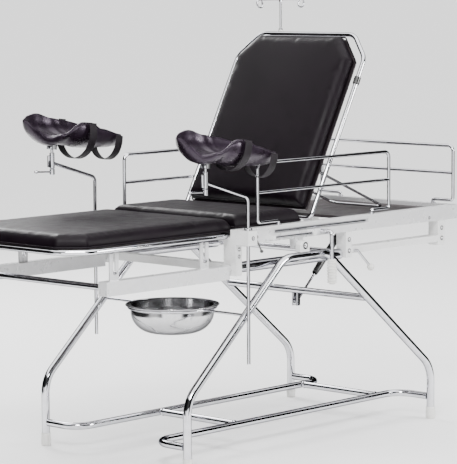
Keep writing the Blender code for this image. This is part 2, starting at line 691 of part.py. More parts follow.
def build_gas_spring(top):
    """The piston rod turns on the brace's pin and the cylinder on the top's, sliding one in the other."""
    span_x = GAS_HIGH[0] - GAS_LOW[0]
    span_z = GAS_HIGH[1] - GAS_LOW[1]
    slope = math.atan2(span_z, span_x)
    along = Vector((math.cos(slope), 0, math.sin(slope)))
    low = Vector((GAS_LOW[0], 0, GAS_LOW[1]))
    high = Vector((GAS_HIGH[0], 0, GAS_HIGH[1]))
    bore = GAS_PIN_R + RUN
    eye = [(bore, -GAS_EYE_HALF), (GAS_EYE_R, -GAS_EYE_HALF), (GAS_EYE_R, GAS_EYE_HALF), (bore, GAS_EYE_HALF)]

    rod = turned("gas_rod", eye, low, "y", "chrome", sides=16)
    start = low + along * (GAS_EYE_R - 0.003)
    weld(rod, tube("gas_rod_bar", [start, low + along * GAS_ROD_LENGTH], GAS_ROD_R, "chrome", sides=12))
    hang(pivot("gas_low_pivot", low), rod)

    body = turned("gas_cylinder", eye, high, "y", "dark", sides=16)
    start = high - along * (GAS_EYE_R - 0.003)
    neck = tube("gas_cylinder_neck", [start, high - along * (GAS_NECK + 0.004)], GAS_EYE_HALF * 0.9, "dark")
    ends = [high - along * GAS_NECK, high - along * GAS_BODY_LENGTH]
    shell = tube("gas_cylinder_shell", ends, GAS_BODY_R, "dark", sides=16)
    ends = [high - along * GAS_BORE_END, high - along * (GAS_BODY_LENGTH + 0.01)]
    hollow = tube("gas_cylinder_bore", ends, GAS_BORE_R, "dark", sides=16)
    keep = turned("gas_cylinder_eye", [(0, -0.02), (bore, -0.02), (bore, 0.02), (0, 0.02)], high, "y", "dark")
    weld(body, neck, shell)
    cut(body, hollow, keep)
    hang(pivot("gas_high_pivot", high), body, under=top)


# ---------------------------------------------------------------- leg section
def build_leg_section(top):
    beams = pivot("leg_slide", (BEAM_X[1], 0, SLIDE_Z))
    rest = pivot("leg_top_lift", (LEG_HEAD_X, 0, LEG_TUBE_Z))
    for label, sign in SIDES.items():
        y = sign * SLIDE_Y
        half = BEAM_WIDTH / 2
        beam = box(f"leg_beam_{label}", BEAM_X, (y - half, y + half), BEAM_Z, "steel")
        ends = [(BEAM_X[1] - 0.010, y, SLIDE_Z), (BEAM_X[1] + INNER_LENGTH, y, SLIDE_Z)]
        inner = tube(f"leg_inner_{label}", ends, INNER_R, "chrome", sides=20)
        weld(beam, inner)
        for index, x in enumerate(HOOK_X[label]):
            weld(beam, hook_plate(f"hook_plate_{label}_{index}", x, y))
        hang(beams, beam, under=top)
    reach = SLIDE_Y - BEAM_WIDTH / 2 - GAP
    x = BEAM_X[0] + 0.020
    end = tube("leg_end_tube", [(x, -reach, END_TUBE_Z), (x, reach, END_TUBE_Z)], END_TUBE_R, "chrome")
    hang(beams, end)
    build_leg_top(beams, rest)


def hook_plate(name, x, y):
    """A plate on the beam with a slot, open at the top, that runs down and then towards the head."""
    half = HOOK_PLATE_WIDTH / 2
    slot = HOOK_SLOT / 2
    foot = BEAM_Z[1] - 0.004
    seat = HOOK_SEAT_Z
    outline = [(-half, foot), (half, foot), (half, HOOK_PLATE_TOP), (slot, HOOK_PLATE_TOP)]
    outline += [(slot, seat + HOOK_SLOT), (slot + 0.009, seat + HOOK_SLOT), (slot + 0.009, seat)]
    outline += [(-slot, seat), (-slot, HOOK_PLATE_TOP), (-half, HOOK_PLATE_TOP)]
    outline = [(x + a, b) for a, b in outline]
    thick = HOOK_PLATE_THICK / 2
    return prism(name, outline, "y", (y - thick, y + thick), "paint")


def build_leg_top(beams, rest):
    """The lift-off part of the leg section: bent tube frame with four hooks, board and pad."""
    foot = FOOT_X + LEG_TUBE_R
    head = RAIL_FOOT_X - END_FRAME_DEPTH - LEG_TUBE_R - 0.003
    wide = LEG_TUBE_HALF
    corner = LEG_CHAMFER
    corners = [(head, -wide), (foot + corner, -wide), (foot, -wide + corner)]
    corners += [(foot, wide - corner), (foot + corner, wide), (head, wide)]
    path = rounded([(x, y, LEG_TUBE_Z) for x, y in corners], [0.03, 0.06, 0.06, 0.06, 0.06, 0.03],
                   steps=4, closed=True)
    frame = tube("leg_frame", path, LEG_TUBE_R, "chrome", sides=10, closed=True)
    for label, sign in SIDES.items():
        bar = HOOK_BAR
        inside = SLIDE_Y - HOOK_PLATE_THICK / 2 - 0.0025
        outline = [(wide - 0.002, LEG_TUBE_Z + 0.004), (inside - bar + 0.002, LEG_TUBE_Z + 0.004)]
        outline += [(inside - bar + 0.002, HOOK_SEAT_Z + 0.001), (SLIDE_Y + 0.010, HOOK_SEAT_Z + 0.001)]
        outline += [(SLIDE_Y + 0.010, HOOK_SEAT_Z + 0.001 + bar), (inside, HOOK_SEAT_Z + 0.001 + bar)]
        outline += [(inside, LEG_TUBE_Z - 0.006), (wide - 0.002, LEG_TUBE_Z - 0.006)]
        outline = [(sign * a, b) for a, b in outline]
        for index, x in enumerate(HOOK_X[label]):
            span = (x - bar / 2, x + bar / 2)
            weld(frame, prism(f"leg_hook_{label}_{index}", outline, "x", span, "paint"))
    low_x = foot + LEG_TUBE_R + GAP
    board_head = head - LEG_TUBE_R - 0.003
    wide_board = SLIDE_Y - HOOK_PLATE_THICK / 2 - 0.0025 - HOOK_BAR
    outline = [(board_head, -wide_board), (low_x + corner, -wide_board), (low_x, -wide_board + corner)]
    outline += [(low_x, wide_board - corner), (low_x + corner, wide_board), (board_head, wide_board)]
    board = prism("leg_board", outline, "z", LEG_BOARD, "board")
    low, high = LEG_TUBE_Z + LEG_TUBE_R + 2 * GAP, LEG_PAD_TOP
    foot_edge = FOOT_X + 0.006
    wide = LEG_PAD_HALF
    outline = [(LEG_HEAD_X, -wide), (foot_edge + corner, -wide), (foot_edge, -wide + corner)]
    outline += [(foot_edge, wide - corner), (foot_edge + corner, wide), (LEG_HEAD_X, wide)]
    pad = cushion("leg_pad", outline, max(low, LEG_BOARD[1] + GAP), high, 0.010)
    hang(rest, frame, board, pad, under=beams)


# ---------------------------------------------------------------- backrest
def build_backrest(top):
    hinge = pivot("backrest_hinge", (HINGE_X, 0, HINGE_Z), (0, -BACK_ANGLE, 0))
    far_x = HINGE_X + BACK_TUBE_LENGTH
    wide = BACK_TUBE_HALF
    cx, cy = BACK_CHAMFER
    corners = [(HINGE_X, -wide), (far_x - cx, -wide), (far_x, -wide + cy)]
    corners += [(far_x, wide - cy), (far_x - cx, wide), (HINGE_X, wide)]
    path = rounded([(x, y, HINGE_Z) for x, y in corners], [0.02, 0.045, 0.045, 0.045, 0.045, 0.02],
                   steps=4, closed=True)
    frame = tube("backrest_frame", path, BACK_TUBE_R, "chrome", sides=10, closed=True)

    low = HINGE_Z - BACK_TUBE_R
    start = HINGE_X + BACK_PAD_START
    stop = HINGE_X + BACK_PAD_END
    half = BACK_PAD_HALF
    outline = [(start, -half), (stop - cx, -half), (stop, -half + cy)]
    outline += [(stop, half - cy), (stop - cx, half), (start, half)]
    shrink = 0.006
    thin = [(start, -half + shrink), (stop - cx, -half + shrink), (stop - shrink, -half + cy)]
    thin += [(stop - shrink, half - cy), (stop - cx, half - shrink), (start, half - shrink)]
    board = prism("backrest_board", thin, "z", (low, low + BACK_BOARD_THICK), "board")
    base = low + BACK_BOARD_THICK + GAP
    pad = cushion("backrest_pad", outline, base, base + BACK_PAD_THICK, 0.010)
    hang(hinge, frame, board, pad, under=top)

    place = (HINGE_X + PROP_FROM_HINGE, 0, HINGE_Z - PROP_DROP)
    prop_z = HINGE_Z - PROP_DROP
    drop = PROP_FROM_HINGE * math.sin(BACK_ANGLE) - PROP_DROP * (math.cos(BACK_ANGLE) - 1)
    dip = math.asin(drop / PROP_LENGTH)
    stay = pivot("prop_pivot", place, (0, BACK_ANGLE + dip, 0))
    end = place[0] + PROP_LENGTH
    flat = [(place[0], -PROP_HALF + 0.020), (place[0], -PROP_HALF), (end, -PROP_HALF)]
    flat += [(end, PROP_HALF), (place[0], PROP_HALF), (place[0], PROP_HALF - 0.020)]
    corners = [(a, b, prop_z) for a, b in flat]
    path = rounded(corners, [0, 0.012, 0.030, 0.030, 0.012, 0], steps=4)
    prop = tube("prop_stay", path, PROP_R, "chrome", sides=8)
    hang(stay, prop, under=hinge)


# ---------------------------------------------------------------- guard rails and drip pole
def guard(name, across, up, feet, place):
    """A guard rail in one plane: a bent outer tube, a middle bar and two feet that step inwards."""
    (left, right), (foot_left, foot_right) = across, feet
    low, middle, high = up
    corners = [
        (foot_left, RAIL_TOP - GUARD_SEAT), (foot_left, low), (left, low), (left, high),
        (right, high), (right, low), (foot_right, low), (foot_right, RAIL_TOP - GUARD_SEAT),
    ]
    points = [place(a, b) for a, b in corners]
    outer = tube(name, rounded(points, [0, 0.008, 0.010, 0.018, 0.018, 0.010, 0.008, 0], steps=3),
                 GUARD_R, "chrome", sides=10)
    ends = [place(left, middle), place(right, middle)]
    weld(outer, tube(f"{name}_bar", ends, GUARD_R * 0.94, "chrome", sides=10))
    return outer


def build_guards(top):
    levels = (GUARD_FOOT_Z, GUARD_MID, GUARD_TOP)
    for label, sign in SIDES.items():
        rail = guard(f"guard_{label}", GUARD_POST_X, levels, GUARD_FOOT_X,
                     lambda a, b, s=sign: (a, s * GUARD_Y, b))
        hang(pivot(f"guard_{label}_lift", (GUARD_FOOT_X[0], sign * GUARD_Y, RAIL_TOP)), rail, under=top)
    spread = (-GUARD_Y, GUARD_Y)
    feet = (-GUARD_HEAD_FOOT_Y, GUARD_HEAD_FOOT_Y)
    rail = guard("guard_head", spread, levels, feet, lambda a, b: (GUARD_HEAD_X, a, b))
    hang(pivot("guard_head_lift", (GUARD_HEAD_X, 0, RAIL_TOP)), rail, under=top)


def build_drip_pole(top):
    low, high = DRIP_TUBE_Z
    neck = high - 0.028
    collar = DRIP_TUBE_R * 1.45
    profile = [(DRIP_BORE_R, low), (DRIP_TUBE_R, low), (DRIP_TUBE_R, neck), (collar, neck)]
    profile += [(collar, high), (DRIP_BORE_R, high)]
    pole = turned("drip_pole_tube", profile, (DRIP_X, DRIP_Y, 0), "z", "chrome", sides=14)
    stem = tube("drip_pole_rod", [(DRIP_X, DRIP_Y, DRIP_ROD_LOW), (DRIP_X, DRIP_Y, DRIP_TOP)],
                DRIP_ROD_R, "chrome", sides=10)
    hook = []
    drop = DRIP_HOOK_R
    for angle in np.linspace(math.radians(30), math.radians(-270), 13):
        hook.append((-DRIP_BAR_HALF + drop * math.cos(angle), DRIP_TOP - drop + drop * math.sin(angle)))
    outline = hook + [(-x, z) for x, z in reversed(hook)]
    path = [(DRIP_X + x, DRIP_Y, z - DRIP_WIRE_R) for x, z in outline]
    weld(stem, tube("drip_hooks", path, DRIP_WIRE_R, "chrome", sides=8))
    hang(top, pole)
    hang(pivot("drip_slide", (DRIP_X, DRIP_Y, high)), stem, under=top)


# ---------------------------------------------------------------- knee crutches
def build_stirrup(top, label, sign):
    y = sign * POLE_Y
    lift = POLE_RAISED[label]
    bush_bore = POLE_R + RUN

    wide_x, deep_y, tall_z = SOCKET_SIZE
    y_in = sign * (RAIL_OUT + GAP)
    block = box(f"crutch_socket_{label}", (POLE_X - wide_x / 2, POLE_X + wide_x / 2),
                (y_in, y_in + sign * deep_y), (RAIL_TOP - tall_z, RAIL_TOP), "paint")
    ends = [(POLE_X, y, RAIL_LOW - 0.02), (POLE_X, y, RAIL_TOP + 0.02)]
    cut(block, tube(f"socket_bore_{label}", ends, BUSH_R + RUN, "paint", sides=20))
    hang(top, block)

    profile = [(bush_bore, RAIL_LOW), (BUSH_R, RAIL_LOW), (BUSH_R, RAIL_TOP + GAP)]
    profile += [(BUSH_R + 0.004, RAIL_TOP + GAP), (BUSH_R + 0.004, RAIL_TOP + 0.008)]
    profile.append((bush_bore, RAIL_TOP + 0.008))
    bush = turned(f"crutch_bush_{label}", profile, (POLE_X, y, 0), "z", "steel", sides=20)
    swivel = pivot(f"crutch_swivel_{label}", (POLE_X, y, RAIL_TOP))
    hang(swivel, bush, under=top)

    slide = pivot(f"crutch_height_{label}", (POLE_X, y, RAIL_TOP))
    tip_x = POLE_X - ARM_REACH
    knee = POLE_BEND_Z + lift
    tip_z = knee + ARM_RISE
    wall = (BARREL_R + POST_R + RUN) / 2
    slope = ARM_RISE / ARM_REACH
    corners = [(POLE_X, y, POLE_LOW + lift), (POLE_X, y, knee), (tip_x + wall, y, tip_z - slope * wall)]
    path = rounded(corners, [0, POLE_BEND_R, 0], steps=5)
    pole = tube(f"crutch_pole_{label}", path, POLE_R, "chrome", sides=12)
    barrel_low = tip_z - BARREL_HEIGHT * 0.34
    bore = POST_R + RUN
    barrel_high = barrel_low + BARREL_HEIGHT
    profile = [(bore, barrel_low), (BARREL_R, barrel_low), (BARREL_R, barrel_high), (bore, barrel_high)]
    weld(pole, turned(f"crutch_barrel_{label}", profile, (tip_x, y, 0), "z", "chrome", sides=16))
    hang(slide, pole, under=swivel)

    screw = turned(f"socket_screw_{label}", [(0, 0), (0.007, 0), (0.007, 0.022), (0, 0.022)],
                   (POLE_X + wide_x / 2 + GAP, y, RAIL_TOP - tall_z / 2), "x", "dark", sides=10)
    centre = Vector((POLE_X + wide_x / 2 + 0.014, y, RAIL_TOP - tall_z / 2))
    tip = centre + Vector((0, sign * 0.028, -0.046))
    weld(screw, tube(f"socket_screw_bar_{label}", [centre, tip], 0.003, "dark", sides=8),
         ball(f"socket_screw_ball_{label}", tip, 0.006, "dark", sides=10))
    hang(pivot(f"socket_screw_pivot_{label}", centre), screw, under=top)

    top_z = barrel_low - RUN
    knob = turned(f"barrel_screw_{label}", [(0, -0.022), (0.009, -0.022), (0.009, 0), (0, 0)],
                  (tip_x, y, top_z), "z", "chrome", sides=12)
    centre = Vector((tip_x, y, top_z - 0.012))
    tip = centre + Vector((-TSCREW_BAR, 0, 0.004))
    weld(knob, tube(f"barrel_screw_bar_{label}", [centre, tip], 0.003, "chrome", sides=8),
         ball(f"barrel_screw_ball_{label}", tip, 0.0065, "chrome", sides=10))
    hang(pivot(f"barrel_screw_pivot_{label}", centre), knob, under=slide)

    turn_z = barrel_high + 0.020
    post = tube(f"crutch_post_{label}", [(tip_x, y, barrel_low + 0.006), (tip_x, y, turn_z)], POST_R,
                "chrome", sides=12)
    weld(post, ball(f"crutch_ball_{label}", (tip_x, y, turn_z), 0.0100, "chrome"))
    post_pivot = pivot(f"crutch_post_pivot_{label}", (tip_x, y, turn_z))
    hang(post_pivot, post, under=slide)

    cradle = pivot(f"crutch_tilt_{label}", (tip_x, y, turn_z), (0, CRUTCH_TILT, 0))
    hang(cradle, crutch_shell(label, tip_x, y, turn_z), under=post_pivot)


def crutch_shell(label, x, y, z):
    """A padded gutter that the calf lies in, opening upwards and to the near side, on two ears."""
    clear = 0.0145
    centre_z = z + clear + CRUTCH_R
    steps = 14
    angles = np.linspace(-CRUTCH_WRAP, CRUTCH_WRAP, steps + 1) + CRUTCH_ROLL
    outer = [(CRUTCH_R * math.sin(a), -CRUTCH_R * math.cos(a)) for a in angles]
    small = CRUTCH_R - CRUTCH_WALL
    inner = [(small * math.sin(a), -small * math.cos(a)) for a in reversed(angles)]
    outline = [(y + a, centre_z + b) for a, b in outer + inner]
    span = (x + CRUTCH_X[0], x + CRUTCH_X[1])
    shell = prism(f"crutch_{label}", outline, "x", span, "vinyl")
    for index, side in enumerate((-1, 1)):
        gap = 0.0106
        span = (y + side * gap, y + side * (gap + 0.005))
        top_z = centre_z - math.sqrt(CRUTCH_R**2 - gap**2) + 0.006
        outline = [(x - 0.011, z - 0.008), (x + 0.011, z - 0.008), (x + 0.011, top_z), (x - 0.011, top_z)]
        weld(shell, prism(f"crutch_ear_{label}_{index}", outline, "y", span, "vinyl"))
    return shell


# ---------------------------------------------------------------- assembly
def main():
    clear_scene()
    build_arches()
    build_floor_frame()
    build_brace()
    build_bowl()
    build_tilt_brackets()
    top = pivot("table_tilt", (TILT_X, 0, TILT_Z))
    build_side_rails(top)
    build_cross_rails(top)
    build_end_frame(top)
    build_hangers(top)
    build_boards(top)
    build_release(top)
    build_gas_spring(top)
    build_leg_section(top)
    build_backrest(top)
    build_guards(top)
    build_drip_pole(top)
    for label, sign in SIDES.items():
        build_stirrup(top, label, sign)


main()
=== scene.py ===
# %% [markdown]
# # A labour table in chromed tube and black vinyl
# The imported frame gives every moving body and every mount. This file dresses it: bright bent tube, coated
# box rails, stuffed vinyl pads, moulded crutches with hanging straps, a steel bowl, and the small fixings.
# It starts by loading that frame and keeping its size, which the dressing must not outgrow.

# %% The frame
import json
import math

import bmesh
import bpy
import numpy as np
from mathutils import Matrix, Vector

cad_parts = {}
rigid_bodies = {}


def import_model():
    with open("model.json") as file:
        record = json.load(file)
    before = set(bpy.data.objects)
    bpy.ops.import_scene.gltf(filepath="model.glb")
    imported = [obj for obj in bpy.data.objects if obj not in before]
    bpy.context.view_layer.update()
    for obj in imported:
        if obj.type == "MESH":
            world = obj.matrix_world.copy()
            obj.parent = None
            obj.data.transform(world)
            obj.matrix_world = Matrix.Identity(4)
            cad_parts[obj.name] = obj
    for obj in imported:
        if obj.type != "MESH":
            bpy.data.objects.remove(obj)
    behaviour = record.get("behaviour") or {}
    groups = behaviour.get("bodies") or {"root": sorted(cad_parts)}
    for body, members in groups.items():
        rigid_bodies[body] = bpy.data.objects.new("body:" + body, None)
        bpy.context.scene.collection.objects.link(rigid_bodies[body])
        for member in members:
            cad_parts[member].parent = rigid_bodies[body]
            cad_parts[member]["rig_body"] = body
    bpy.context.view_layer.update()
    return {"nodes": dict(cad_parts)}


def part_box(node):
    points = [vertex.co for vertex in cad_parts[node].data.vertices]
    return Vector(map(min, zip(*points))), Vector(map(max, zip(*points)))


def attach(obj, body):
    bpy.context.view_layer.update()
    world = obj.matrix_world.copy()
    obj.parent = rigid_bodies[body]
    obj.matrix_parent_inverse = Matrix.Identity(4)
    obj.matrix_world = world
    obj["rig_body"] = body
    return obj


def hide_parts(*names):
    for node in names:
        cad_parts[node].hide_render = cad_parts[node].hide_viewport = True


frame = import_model()
SIDES = {"near": -1, "far": 1}
GAP = 0.0003    # left between a dressed piece and what it stands on

# %% [markdown]
# ## The camera and the room
# The table is seen from its foot end and near side, from a little above the pads, through a long lens that
# keeps the uprights parallel. Chrome has no colour of its own, so the room is what it shows: a pale floor,
# a white ceiling, and walls that alternate between bright panels and dark cloth as one turns round. Each
# tube then carries its white core and its black edges, which its finish deepens with a painted dark
# reflection. To the eye the far wall is simply white paper.

# %% Camera
CAMERA_PLACE = (-5.9295, -5.634, 1.599)
CAMERA_YAW = math.radians(46.83)
CAMERA_PITCH = math.radians(6.04)
CAMERA_ROLL = math.radians(-0.33)
LENS_MM = 181.2

camera = bpy.data.objects.new("camera", bpy.data.cameras.new("camera"))
camera.data.lens = LENS_MM
camera.data.clip_end = 1000
aim = Matrix.Rotation(-CAMERA_YAW, 4, "Z") @ Matrix.Rotation(math.pi / 2 - CAMERA_PITCH, 4, "X")
camera.matrix_world = Matrix.Translation(CAMERA_PLACE) @ aim @ Matrix.Rotation(CAMERA_ROLL, 4, "Z")
bpy.context.scene.collection.objects.link(camera)
bpy.context.scene.camera = camera
print("camera", CAMERA_PLACE, "lens", LENS_MM)

# %% [markdown]
# The room is drawn from three ramps: one over the bearing for the walls, one over the height where the
# walls end, and one for the ceiling. The camera itself sees plain paper in place of the walls.

# %% Room
world = bpy.data.worlds.new("room")
world.use_nodes = True
bpy.context.scene.world = world


def feed(tree, socket, value):
    """Links a socket to another one, or sets its own value: a number or a colour."""
    if isinstance(value, bpy.types.NodeSocket):
        tree.links.new(value, socket)
    else:
        socket.default_value = (*value, 1) if isinstance(value, tuple) else value


def maths(tree, operation, *values):
    """The result of one operation on numbers and sockets."""
    node = tree.nodes.new("ShaderNodeMath")
    node.operation = operation
    for socket, value in zip(node.inputs, values):
        feed(tree, socket, value)
    return node.outputs[0]


def mixed(tree, share, first, second, blend="MIX"):
    """Two colours mixed by a share."""
    node = tree.nodes.new("ShaderNodeMix")
    node.data_type = "RGBA"
    node.blend_type = blend
    for index, value in ((0, share), (6, first), (7, second)):
        feed(tree, node.inputs[index], value)
    return node.outputs[2]


def mapped(tree, value, low, high, start=0.0, end=1.0):
    """A value whose stretch from low to high is carried to start and end."""
    node = tree.nodes.new("ShaderNodeMapRange")
    for socket, number in zip(node.inputs, (value, low, high, start, end)):
        feed(tree, socket, number)
    return node.outputs[0]


def ramp(tree, value, stops):
    """The grey that a value has between the given (position, grey) stops."""
    node = tree.nodes.new("ShaderNodeValToRGB")
    while len(node.color_ramp.elements) < len(stops):
        node.color_ramp.elements.new(0.5)
    for element, (position, grey) in zip(node.color_ramp.elements, stops):
        element.position = position
        element.color = (grey, grey, grey, 1)
    feed(tree, node.inputs["Fac"], value)
    return node.outputs["Color"]


WALL = [(0.0, 0.3), (0.04, 0.02), (0.05, 0.85), (0.19, 0.85), (0.20, 0.01), (0.28, 0.01), (0.30, 0.35)]
WALL += [(0.36, 0.35), (0.38, 0.01), (0.50, 0.01), (0.54, 0.5), (0.70, 0.5), (0.74, 0.01), (0.93, 0.01)]
WALL += [(0.95, 0.3), (1.0, 0.3)]
BELT = [(0.0, 1.0), (0.08, 1.0), (0.13, 0.02), (1.0, 0.02)]
CEILING = [(0.0, 0.0), (0.60, 0.0), (0.74, 1.0)]
PAPER_LIGHT, ROOM_LIGHT = 9.0, 3.3
WHITE = (1.0, 1.0, 1.0)


def dress_world(tree):
    """Walls that change with the bearing, a bright ceiling, and white paper where the lens looks at it."""
    tree.nodes.clear()
    split = tree.nodes.new("ShaderNodeSeparateXYZ")
    feed(tree, split.inputs[0], tree.nodes.new("ShaderNodeTexCoord").outputs["Generated"])
    bearing = maths(tree, "ARCTAN2", split.outputs["Y"], split.outputs["X"])
    wall = ramp(tree, mapped(tree, bearing, -math.pi, math.pi), WALL)
    panels = mixed(tree, 1.0, wall, ramp(tree, split.outputs["Z"], BELT), "MULTIPLY")
    room = mixed(tree, ramp(tree, split.outputs["Z"], CEILING), panels, WHITE)
    path, mix = tree.nodes.new("ShaderNodeLightPath"), tree.nodes.new("ShaderNodeMixShader")
    feed(tree, mix.inputs["Fac"], path.outputs["Is Camera Ray"])
    for index, (colour, strength) in enumerate(((room, ROOM_LIGHT), (WHITE, PAPER_LIGHT)), 1):
        light = tree.nodes.new("ShaderNodeBackground")
        feed(tree, light.inputs["Color"], colour)
        feed(tree, light.inputs["Strength"], strength)
        feed(tree, mix.inputs[index], light.outputs[0])
    feed(tree, tree.nodes.new("ShaderNodeOutputWorld").inputs["Surface"], mix.outputs[0])


dress_world(world.node_tree)

FLOOR_EDGES = ((-1.7, 1.6), (320.0, 36.0))
ahead = np.array([math.sin(CAMERA_YAW), math.cos(CAMERA_YAW), 0])
aside = np.array([math.cos(CAMERA_YAW), -math.sin(CAMERA_YAW), 0])
corners = [ahead * depth + aside * half * turn for depth, half in FLOOR_EDGES for turn in (-1, 1)]
sheet = bpy.data.meshes.new("floor")
sheet.from_pydata([tuple(corner) for corner in corners], [], [(0, 1, 3, 2)])
floor = bpy.data.objects.new("floor", sheet)
bpy.context.scene.collection.objects.link(floor)
paper = bpy.data.materials.new("paper")
paper.use_nodes = True
paper.node_tree.nodes["Principled BSDF"].inputs["Base Color"].default_value = (0.95, 0.95, 0.95, 1)
paper.node_tree.nodes["Principled BSDF"].inputs["Roughness"].default_value = 0.9
sheet.materials.append(paper)


def panel_light(name, place, target, size, watts):
    """A soft square light that faces the target."""
    lamp = bpy.data.lights.new(name, "AREA")
    lamp.size = size
    lamp.energy = watts
    obj = bpy.data.objects.new(name, lamp)
    obj.location = place
    obj.rotation_euler = (Vector(target) - Vector(place)).to_track_quat("-Z", "Y").to_euler()
    bpy.context.scene.collection.objects.link(obj)


MIDDLE = (0.0, 0.0, 0.8)
panel_light("key", (-3.6, -3.2, 4.2), MIDDLE, 1.6, 330)
panel_light("fill", (2.4, -4.4, 2.2), MIDDLE, 1.4, 170)
panel_light("rim", (1.5, 4.2, 3.6), MIDDLE, 1.8, 230)
print("room: wall stops", len(WALL), "lights", len(bpy.data.lights))

# %% [markdown]
# ## Surfaces from arrays
# Almost everything here is a tube, a turned piece or a stuffed form. Each one is a grid of points: one
# parameter runs along, the other runs round. The helpers below turn such a grid into a closed mesh, carry
# a ring along a bent path, or turn a profile about an axis.


# %% Grids, tubes and turned pieces
def grid_faces(rows, columns, wrap_rows=False, wrap_columns=False):
    """Quads over a rows by columns grid; a wrapped direction joins its last line to its first."""
    index = np.arange(rows * columns).reshape(rows, columns)
    if wrap_columns:
        index = np.concatenate([index, index[:, :1]], axis=1)
    if wrap_rows:
        index = np.concatenate([index, index[:1]], axis=0)
    quads = np.stack([index[:-1, :-1], index[1:, :-1], index[1:, 1:], index[:-1, 1:]], axis=-1)
    return quads.reshape(-1, 4).tolist()


def build(name, points, faces, finish, sharp=45):
    """Makes the mesh, welds its poles and seams, points its faces outwards and gives it its finish."""
    mesh = bpy.data.meshes.new(name)
    mesh.from_pydata(np.asarray(points, float).reshape(-1, 3).tolist(), [], faces)
    shell = bmesh.new()
    shell.from_mesh(mesh)
    bmesh.ops.remove_doubles(shell, verts=shell.verts, dist=1e-6)
    bmesh.ops.recalc_face_normals(shell, faces=shell.faces)
    shell.to_mesh(mesh)
    shell.free()
    mesh.shade_smooth()
    mesh.set_sharp_from_angle(angle=math.radians(sharp))
    obj = bpy.data.objects.new(name, mesh)
    bpy.context.scene.collection.objects.link(obj)
    mesh.materials.append(finish)
    return obj


def bent(corners, radii, closed=False, steps=12):
    """The path through the corners, each turned into an arc that touches both straight runs."""
    points = np.asarray(corners, float)
    radii = np.broadcast_to(radii, len(points))
    path = []
    for index, corner in enumerate(points):
        if not closed and index in (0, len(points) - 1):
            path.append(corner[None])
            continue
        back = points[index - 1] - corner
        ahead = points[(index + 1) % len(points)] - corner
        back, ahead = back / np.linalg.norm(back), ahead / np.linalg.norm(ahead)
        half = np.arccos(np.clip(back @ ahead, -1, 1)) / 2
        middle = (back + ahead) / np.linalg.norm(back + ahead)
        centre = corner + middle * radii[index] / np.sin(half)
        across = (ahead - back) / np.linalg.norm(ahead - back)
        turn = np.linspace(half - np.pi / 2, np.pi / 2 - half, steps + 1)[:, None]
        path.append(centre + radii[index] * (np.sin(turn) * across - np.cos(turn) * middle))
    return np.concatenate(path)


def carried(path, ring, plane, closed=False):
    """The ring's (across, along the plane's normal) points carried along a path that lies in that plane."""
    path = np.asarray(path, float)
    normal = np.asarray(plane, float) / np.linalg.norm(plane)
    if closed:
        tangent = np.roll(path, -1, axis=0) - np.roll(path, 1, axis=0)
    else:
        tangent = np.gradient(path, axis=0)
    tangent /= np.linalg.norm(tangent, axis=1, keepdims=True)
    across = np.cross(tangent, normal)
    return path[:, None] + ring[:, 0, None] * across[:, None] + ring[:, 1, None] * normal


def fuller(wave, power):
    """A sine or cosine whose size is raised to a power below one: a rounder square wave."""
    return np.sign(wave) * np.abs(wave) ** power


def circle(radius, sides=24):
    """A ring of points on a circle."""
    angle = 2 * np.pi * np.arange(sides) / sides
    return radius * np.stack([np.cos(angle), np.sin(angle)], axis=1)


def strip(width, thick, sides=24):
    """A ring of points on a flat bar with rounded edges: a superellipse."""
    angle = 2 * np.pi * np.arange(sides) / sides
    shape = np.stack([np.cos(angle), np.sin(angle)], axis=1)
    return fuller(shape, 0.45) * np.array([thick / 2, width / 2])


def tube(name, path, radius, finish, plane=(0, 1, 0), closed=False, ring=None):
    """A round bar, or one of another section, along a flat path, with its ends closed."""
    ring = circle(radius) if ring is None else ring
    points = carried(path, ring, plane, closed)
    rows, columns = points.shape[:2]
    faces = grid_faces(rows, columns, wrap_rows=closed, wrap_columns=True)
    if not closed:
        faces += [list(range(columns)), list(range((rows - 1) * columns, rows * columns))]
    return build(name, points, faces, finish)


def turned(name, profile, centre, finish, axis="z", sides=40, closed=False):
    """A profile of (radius, height) turned about an axis through the centre."""
    profile = np.asarray(profile, float)
    angle = 2 * np.pi * np.arange(sides) / sides
    radius, height = profile[:, 0, None], profile[:, 1, None]
    local = [radius * np.cos(angle), radius * np.sin(angle), height + 0 * angle]
    order = {"x": (2, 0, 1), "y": (1, 2, 0), "z": (0, 1, 2)}[axis]
    points = np.stack([local[i] for i in order], axis=-1) + np.asarray(centre, float)
    faces = grid_faces(len(profile), sides, wrap_rows=closed, wrap_columns=True)
    return build(name, points, faces, finish, 35)


def mirrored(profile):
    """A profile given up to its middle, continued by its own mirror image."""
    return profile + [(radius, -height) for radius, height in reversed(profile)]


def ball(name, radius, centre, finish, steps=14, sides=24):
    """A round knob."""
    arc = np.linspace(-np.pi / 2, np.pi / 2, steps)
    profile = radius * np.stack([np.cos(arc), np.sin(arc)], axis=1)
    return turned(name, profile, centre, finish, sides=sides)


def bar_between(name, start, end, radius, finish):
    """A straight level bar."""
    return tube(name, [start, end], radius, finish, plane=(0, 0, 1))


def joined(name, pieces):
    """Several meshes made one object, each keeping its own material."""
    bpy.ops.object.select_all(action="DESELECT")
    for piece in pieces:
        piece.select_set(True)
    bpy.context.view_layer.objects.active = pieces[0]
    bpy.ops.object.join()
    pieces[0].name = name
    pieces[0].data.name = name
    return pieces[0]


def place(piece, body, slot, *nodes):
    """Puts a finished piece on its body and hides the plain solids that it stands for; the slot is not used.
    """
    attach(piece, body)
    if nodes:
        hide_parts(*nodes)
    return piece


# %% [markdown]
# ## Finishes
# Two effects come back in most of the finishes, so each is a node group. *Handling marks* is a soft cloudy
# mask: where hands and cloths have been, chrome is a touch duller and paint a touch warmer. *Skin grain* is
# the pebbled height of vinyl and of moulded plastic. Both only give masks and heights; the shader stays in
# the material, where its own sockets hold whatever is the same all over.


